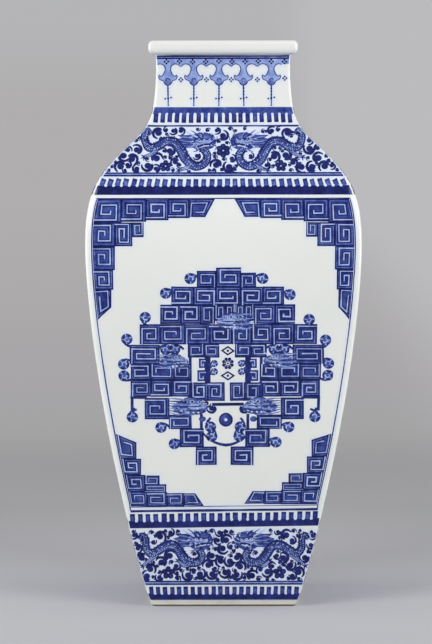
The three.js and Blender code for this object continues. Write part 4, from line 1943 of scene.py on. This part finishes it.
        head = smooth_path([at(-0.95, 0.06), at(-0.4, 0.4), at(0.1, 0.52), at(0.62, 0.36), at(1.0, 0.06),
                            at(0.84, -0.28), at(0.3, -0.42), at(-0.3, -0.42), at(-0.8, -0.22)], 3)
        sheet.shape(head, 0.56, Layer.DETAIL)
        for strand in range(7):
            rise = -0.36 + strand * 0.13
            streak = [at(-0.1, rise * 0.8), at(-0.6, rise * 1.1), at(-1.15, rise * 0.9 + 0.08)]
            tone = 0.72 if strand % 2 else 0.4
            sheet.ribbon(smooth_path(streak, 3), [1.6, 1.3, 0.4], tone, Layer.ACCENT, 0.2)
        for _ in range(22):
            spot = at(sheet.chance.uniform(-0.7, 0.9), sheet.chance.uniform(-0.36, 0.42))
            radius, span = sheet.chance.uniform(0.6, 1.3), sheet.chance.choice(((0, 150), (170, 330)))
            dab = arc_path(spot, radius, *span, 4)
            sheet.ribbon(dab, [0.5, 0.9, 0.4], sheet.chance.choice((0.1, 0.2, 0.9)), Layer.ACCENT)
        sheet.shape(smooth_path([at(-0.1, 0.06), at(0.2, 0.2), at(0.7, 0.14), at(0.9, 0.0), at(0.5, -0.08),
                                 at(0.1, -0.1)], 3), 0.3, Layer.ACCENT)
        for x, y, radius in ((0.16, 0.3, 0.17), (-0.2, 0.28, 0.14), (0.56, 0.28, 0.13), (0.86, 0.12, 0.1)):
            sheet.disc(at(x, y), radius * size, Tone.PALE, Layer.ACCENT, 0.3, 0.75)
            sheet.disc(at(x, y), radius * size * 0.4, Tone.DARK, Layer.TOP, segments=6)
        for path in (
            (at(0.0, -0.18), at(0.4, -0.2), at(0.86, -0.12)),
            (at(-0.1, 0.05), at(0.3, 0.04), at(0.7, 0.07)),
            (at(0.2, -0.34), at(0.6, -0.34), at(0.9, -0.2)),
            (at(-0.3, 0.46), at(0.1, 0.56), at(0.5, 0.42)),
        ):
            sheet.ribbon(smooth_path(path, 3), [0.5, 0.9, 0.5], Tone.DARK, Layer.TOP)
        for x in (-0.05, 0.22, 0.5):
            sheet.disc(at(x, -0.29), 0.8, Tone.RESERVE, Layer.ACCENT, segments=7)

    def _posts(self, sheet: PaintedSheet) -> None:
        """Draws the two stepped posts beside the middle and the beads on them.

        Args:
            sheet: The panel's sheet.
        """
        for side in (-1, 1):
            def at(across: float) -> float:
                """Distance from the middle turned into a place."""
                return self.centre + side * across

            sheet.ribbon([(at(15.8), 199.2), (at(15.8), 178.4)], 4.6, 0.9)
            for far, low, high in ((22.6, 189.9, 197.4), (23.8, 179.7, 188.4)):
                sheet.patch([(at(16.8), low), (at(far), low), (at(far), high), (at(16.8), high)], 0.78)
                hook = [(at(17.4), high - 1.8), (at(far - 1.7), high - 1.8), (at(far - 1.7), low + 1.9),
                        (at(19.2), low + 1.9), (at(19.2), low + 3.6)]
                sheet.ribbon(hook, [0.9, 0.6, 0.9, 0.7], 0.25, Layer.LINE)
            for height in (193.5, 187.1):
                self._scroll(sheet, (at(10.6), height), 2.9, 90 - side * 90, 1)
            sheet.ribbon([(at(12.6), 190.2), (at(15.0), 190.2)], 1.2, Tone.DEEP)

    def _rosette(self, sheet: PaintedSheet) -> None:
        """Draws the bracket, the rosette under it and the swag.

        Args:
            sheet: The panel's sheet.
        """
        spot = (self.centre - 1.6, self.rosette_height)
        sheet.disc(spot, 5.5, Tone.MID, Layer.WASH, 0.42, segments=22)
        sheet.ribbon(arc_path(spot, 5.0, 0, 360, 22)[:-1], 0.9, Tone.DARK, closed=True)
        sheet.ribbon(arc_path(spot, 2.6, 0, 360, 14)[:-1], 0.6, Tone.DEEP, closed=True)
        sheet.disc(spot, 1.2, Tone.RESERVE, Layer.LINE, segments=8)
        bar = 161.6
        sheet.ribbon([(self.centre - 12.4, bar), (self.centre + 12.4, bar)], [2.4, 3.0, 2.4], Tone.DARK,
                     Layer.STROKE, -0.1)
        for side in (-1, 1):
            sheet.curl((self.centre + side * 12.6, 158.4), 3.8, 90 - side * 90, side)
            sheet.curl((self.centre + side * 16.8, 162.4), 3.2, 90 + side * 90, -side)
            sheet.disc((self.centre + side * 20.0, 150.0), 2.8, Tone.MID, Layer.STROKE, 0.3, 0.8)
        sheet.ribbon(smooth_path(self.swag, 4), [1.3, 1.7, 2.4, 1.7, 1.3], Tone.DEEP, Layer.STROKE, 0.3)

    def _middle(self, sheet: PaintedSheet) -> None:
        """Draws the middle: a flower between two lozenges, alike on both sides.

        Args:
            sheet: The panel's sheet.
        """
        flower = (self.centre, 193.6)
        for petal in range(8):
            spot = polar(flower, 3.5, math.radians(22.5 + 45 * petal))
            sheet.disc(spot, 1.35, Tone.DEEP, Layer.STROKE, 0.3)
        sheet.ribbon(arc_path(flower, 1.9, 0, 360, 12)[:-1], 0.6, Tone.DARK, Layer.LINE, closed=True)
        sheet.disc(flower, 0.8, Tone.DARK, Layer.LINE, segments=8)
        for height in (203.4, 184.0):
            lozenge = [(self.centre + x, height + y) for x, y in ((-4.6, 0), (0, 3), (4.6, 0), (0, -3))]
            sheet.ribbon(lozenge, 1.2, Tone.DARK, closed=True)
            sheet.disc((self.centre, height), 1.0, Tone.DARK, segments=8)


@dataclass(frozen=True)
class SoftBox:
    """A lamp with a flat front that faces the vase."""

    name: str
    place: Row
    width: float
    height: float
    power: float
    aim: Row = (0.0, 0.0, 0.25)

    def hang(self) -> None:
        """Adds the lamp to the scene."""
        light = bpy.data.lights.new(self.name, "AREA")
        light.shape = "RECTANGLE"
        light.size = self.width
        light.size_y = self.height
        light.energy = self.power
        lamp = bpy.data.objects.new(self.name, light)
        lamp.location = self.place
        lamp.rotation_euler = (Vector(self.aim) - Vector(self.place)).to_track_quat("-Z", "Y").to_euler()
        bpy.context.scene.collection.objects.link(lamp)


@dataclass
class Studio:
    """Grey seamless surroundings, soft lamps from both sides and the camera of the photograph."""

    camera_place: Row = (-0.0056, -2.6, 0.41)
    camera_dip: float = 4.108
    camera_roll: float = 0.1
    lens: float = 179.75
    floor_half: float = 12.0
    world_level: float = 0.35
    lamps: tuple[SoftBox, ...] = (
        SoftBox("soft_left", (-1.7, -1.7, 1.35), 1.3, 1.5, 35.0),
        SoftBox("soft_right", (1.7, -1.7, 1.35), 1.3, 1.5, 30.0),
        SoftBox("edge_left", (-1.5, 0.1, 0.35), 0.5, 1.5, 12.8),
        SoftBox("edge_right", (1.5, 0.1, 0.35), 0.5, 1.5, 12.8),
    )

    def build(self) -> None:
        """Sets up the floor, the lamps, the world and the camera."""
        scene = bpy.context.scene
        scene.view_settings.view_transform = "Standard"
        self._floor()
        for lamp in self.lamps:
            lamp.hang()
        scene.world = self._air()
        lens = bpy.data.cameras.new("photo_camera")
        lens.lens = self.lens
        lens.sensor_width = 36.0
        lens.clip_start = 0.05
        camera = bpy.data.objects.new("photo_camera", lens)
        camera.location = self.camera_place
        camera.rotation_euler = (math.radians(90 - self.camera_dip), math.radians(self.camera_roll), 0.0)
        scene.collection.objects.link(camera)
        scene.camera = camera

    @staticmethod
    def _paint_light_to_right(tree: Tree, across: Socket, near: float, far: float, colour: Socket) -> Socket:
        """Paints light on the grey surroundings: makes them a little paler to the right, between two places
        across.
        """
        side = add_range(tree, across, near, far, smooth=True)
        return add_mix(tree, side, colour, (187, 186, 189))

    @staticmethod
    def _shown(tree: Tree) -> Socket:
        """Share of a ray that shows the surroundings as they look: seen straight or mirrored."""
        rays = add_node(tree, "LightPath")
        return add_sum(tree, "MAXIMUM", rays.outputs["Is Camera Ray"], rays.outputs["Is Glossy Ray"])

    def _air(self) -> bpy.types.World:
        """Lights the scene evenly from all around and shows grey behind the floor, with painted light that
        makes it paler upwards and to the right.

        Returns:
            The world.
        """
        world = bpy.data.worlds.new("studio_air")
        world.use_nodes = True
        tree = world.node_tree
        air = tree.nodes["Background"]
        air.inputs["Color"].default_value = (0.98, 0.985, 1.0, 1.0)
        air.inputs["Strength"].default_value = self.world_level
        split = add_node(tree, "SeparateXYZ", Vector=add_node(tree, "TexCoord").outputs["Generated"])
        # painted light: the grey behind the floor runs a little paler upwards
        rise = add_range(tree, split.outputs["Z"], -0.005, 0.02)
        grey = add_mix(tree, rise, (176, 174, 175), (180, 180, 182))
        # painted light: the grey behind the floor is paler to the right
        paler = self._paint_light_to_right(tree, split.outputs["X"], 0.014, 0.034, grey)
        view = add_node(tree, "Background", Color=paler)
        mixed = add_node(tree, "MixShader", Fac=self._shown(tree))
        tree.links.new(air.outputs[0], mixed.inputs[1])
        tree.links.new(view.outputs[0], mixed.inputs[2])
        tree.links.new(mixed.outputs[0], tree.nodes["World Output"].inputs["Surface"])
        return world

    def _floor(self) -> None:
        """Lays the floor."""
        mesh = bmesh.new()
        bmesh.ops.create_grid(mesh, x_segments=8, y_segments=8, size=self.floor_half)
        floor = make_piece("floor", mesh, self._paper())

    def _paper(self) -> Material:
        """Grey paper with the vase's shadow on it and painted shade and light along its depth, seen farther
        away as grey with painted shade near the vase and painted light far off and to the right.

        Returns:
            The material.
        """
        material, shader = fresh_material("floor_paper")
        tree = material.node_tree
        place = add_node(tree, "TexCoord").outputs["Object"]
        split = add_node(tree, "SeparateXYZ", Vector=place)
        # painted light and shade along the floor's depth: palest at the vase, a darker band of painted
        # shade about half a metre behind it, paler again farther back
        near = add_ramp(tree, add_range(tree, split.outputs["Y"], -0.2, 1.6), (
            (0.0, (186, 187, 190)), (0.09, (195, 195, 197)), (0.2, (190, 190, 194)),
            (0.42, (175, 175, 177)), (1.0, (186, 184, 186)),
        ))
        tree.links.new(near, shader.inputs["Base Color"])
        shader.inputs["Roughness"].default_value = 0.85
        shader.inputs["Specular IOR Level"].default_value = 0.2
        length = add_node(tree, "VectorMath", Vector=place)
        length.operation = "LENGTH"
        distance = length.outputs["Value"]
        # painted shade on the far paper: darker near the vase, paler far off
        far = add_ramp(tree, add_range(tree, distance, 0.9, 9.0), (
            (0.0, (162, 162, 163)), (0.13, (167, 165, 167)), (0.35, (172, 170, 171)),
            (1.0, (176, 174, 175)),
        ))
        # painted light: the far paper is paler to the right
        glow = add_node(tree, "Emission", Color=self._paint_light_to_right(tree, split.outputs["X"], 0.2, 0.5, far))
        fade = add_range(tree, distance, 0.75, 1.35, smooth=True)
        mixed = add_node(tree, "MixShader", Fac=add_sum(tree, "MULTIPLY", fade, self._shown(tree)))
        tree.links.new(shader.outputs[0], mixed.inputs[1])
        tree.links.new(glow.outputs[0], mixed.inputs[2])
        tree.links.new(mixed.outputs[0], tree.nodes["Material Output"].inputs["Surface"])
        return material


def dress_clay(frame: dict) -> None:
    """Gives the hidden clay pieces, which keep their own shape, their finish.

    Args:
        frame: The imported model.
    """
    clay = BiscuitFinish("bare_clay", (214, 208, 194), (198, 190, 172)).material()
    names = ["base_slab"] + [name for name in frame["nodes"] if name.startswith("luting_coil")]
    for name in names:
        data = frame["nodes"][name].data
        data.materials.clear()
        data.materials.append(clay)
        LOG.info("%s: bare clay", name)


def main() -> None:
    """Builds the vase and its studio in order."""
    logging.basicConfig(level=logging.INFO, format="%(name)s: %(message)s")
    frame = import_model()
    profile = Profile()
    slabs = Slabs(profile)
    rims = Rims(profile)
    skins = slabs.build()
    rims.build_lip()
    foot = rims.build_foot()
    dress_clay(frame)
    cobalt = CobaltFinish("underglaze_blue").material()
    sheets = [NeckPainting(profile).build()]
    bands = (
        ("neck_teeth", 13, 0, Dentil(397.4, 391.9, 385.3, 5.65, 0.2, 0.7, 0.7), (382.7,)),
        ("shoulder_teeth", 17, 0, Dentil(329.7, 337.0, 341.9, 6.05, 0.7, 0.98, 0.58), (346.4, 344.5)),
        ("lower_teeth", 19, 0.014, Dentil(66.1, 72.2, 77.8, 6.35, 0.3, 0.9, 0.68), ()),
        ("foot_teeth", 29, 0, Dentil(5.5, 11.0, 16.8, 5.45, 0.3, 0.9, 0.68), (21.0, 18.8)),
    )
    for name, seed, tilt, dentil, lines in bands:
        sheet = PaintedSheet(name, profile, seed, wrap=0.55, wobble=0.05, tilt=tilt)
        dentil.draw(sheet)
        for height in lines:
            sheet.line(height, 1.2, Tone.DEEP)
        if len(lines) > 1:
            sheet.band(lines[1], lines[0], Tone.WASH, Layer.GROUND)
        sheets.append(sheet)
    sheets += [band.build() for band in dragon_bands(profile)]
    panel = PanelPainting(profile)
    sheets += [panel.frames(), panel.corners(), Medallion(profile).build()]
    bleed_beside([*skins, foot], sheets, reach=3.2)
    for sheet in sheets:
        sheet.finish(cobalt)
    Studio().build()


if __name__ == "__main__":
    main()
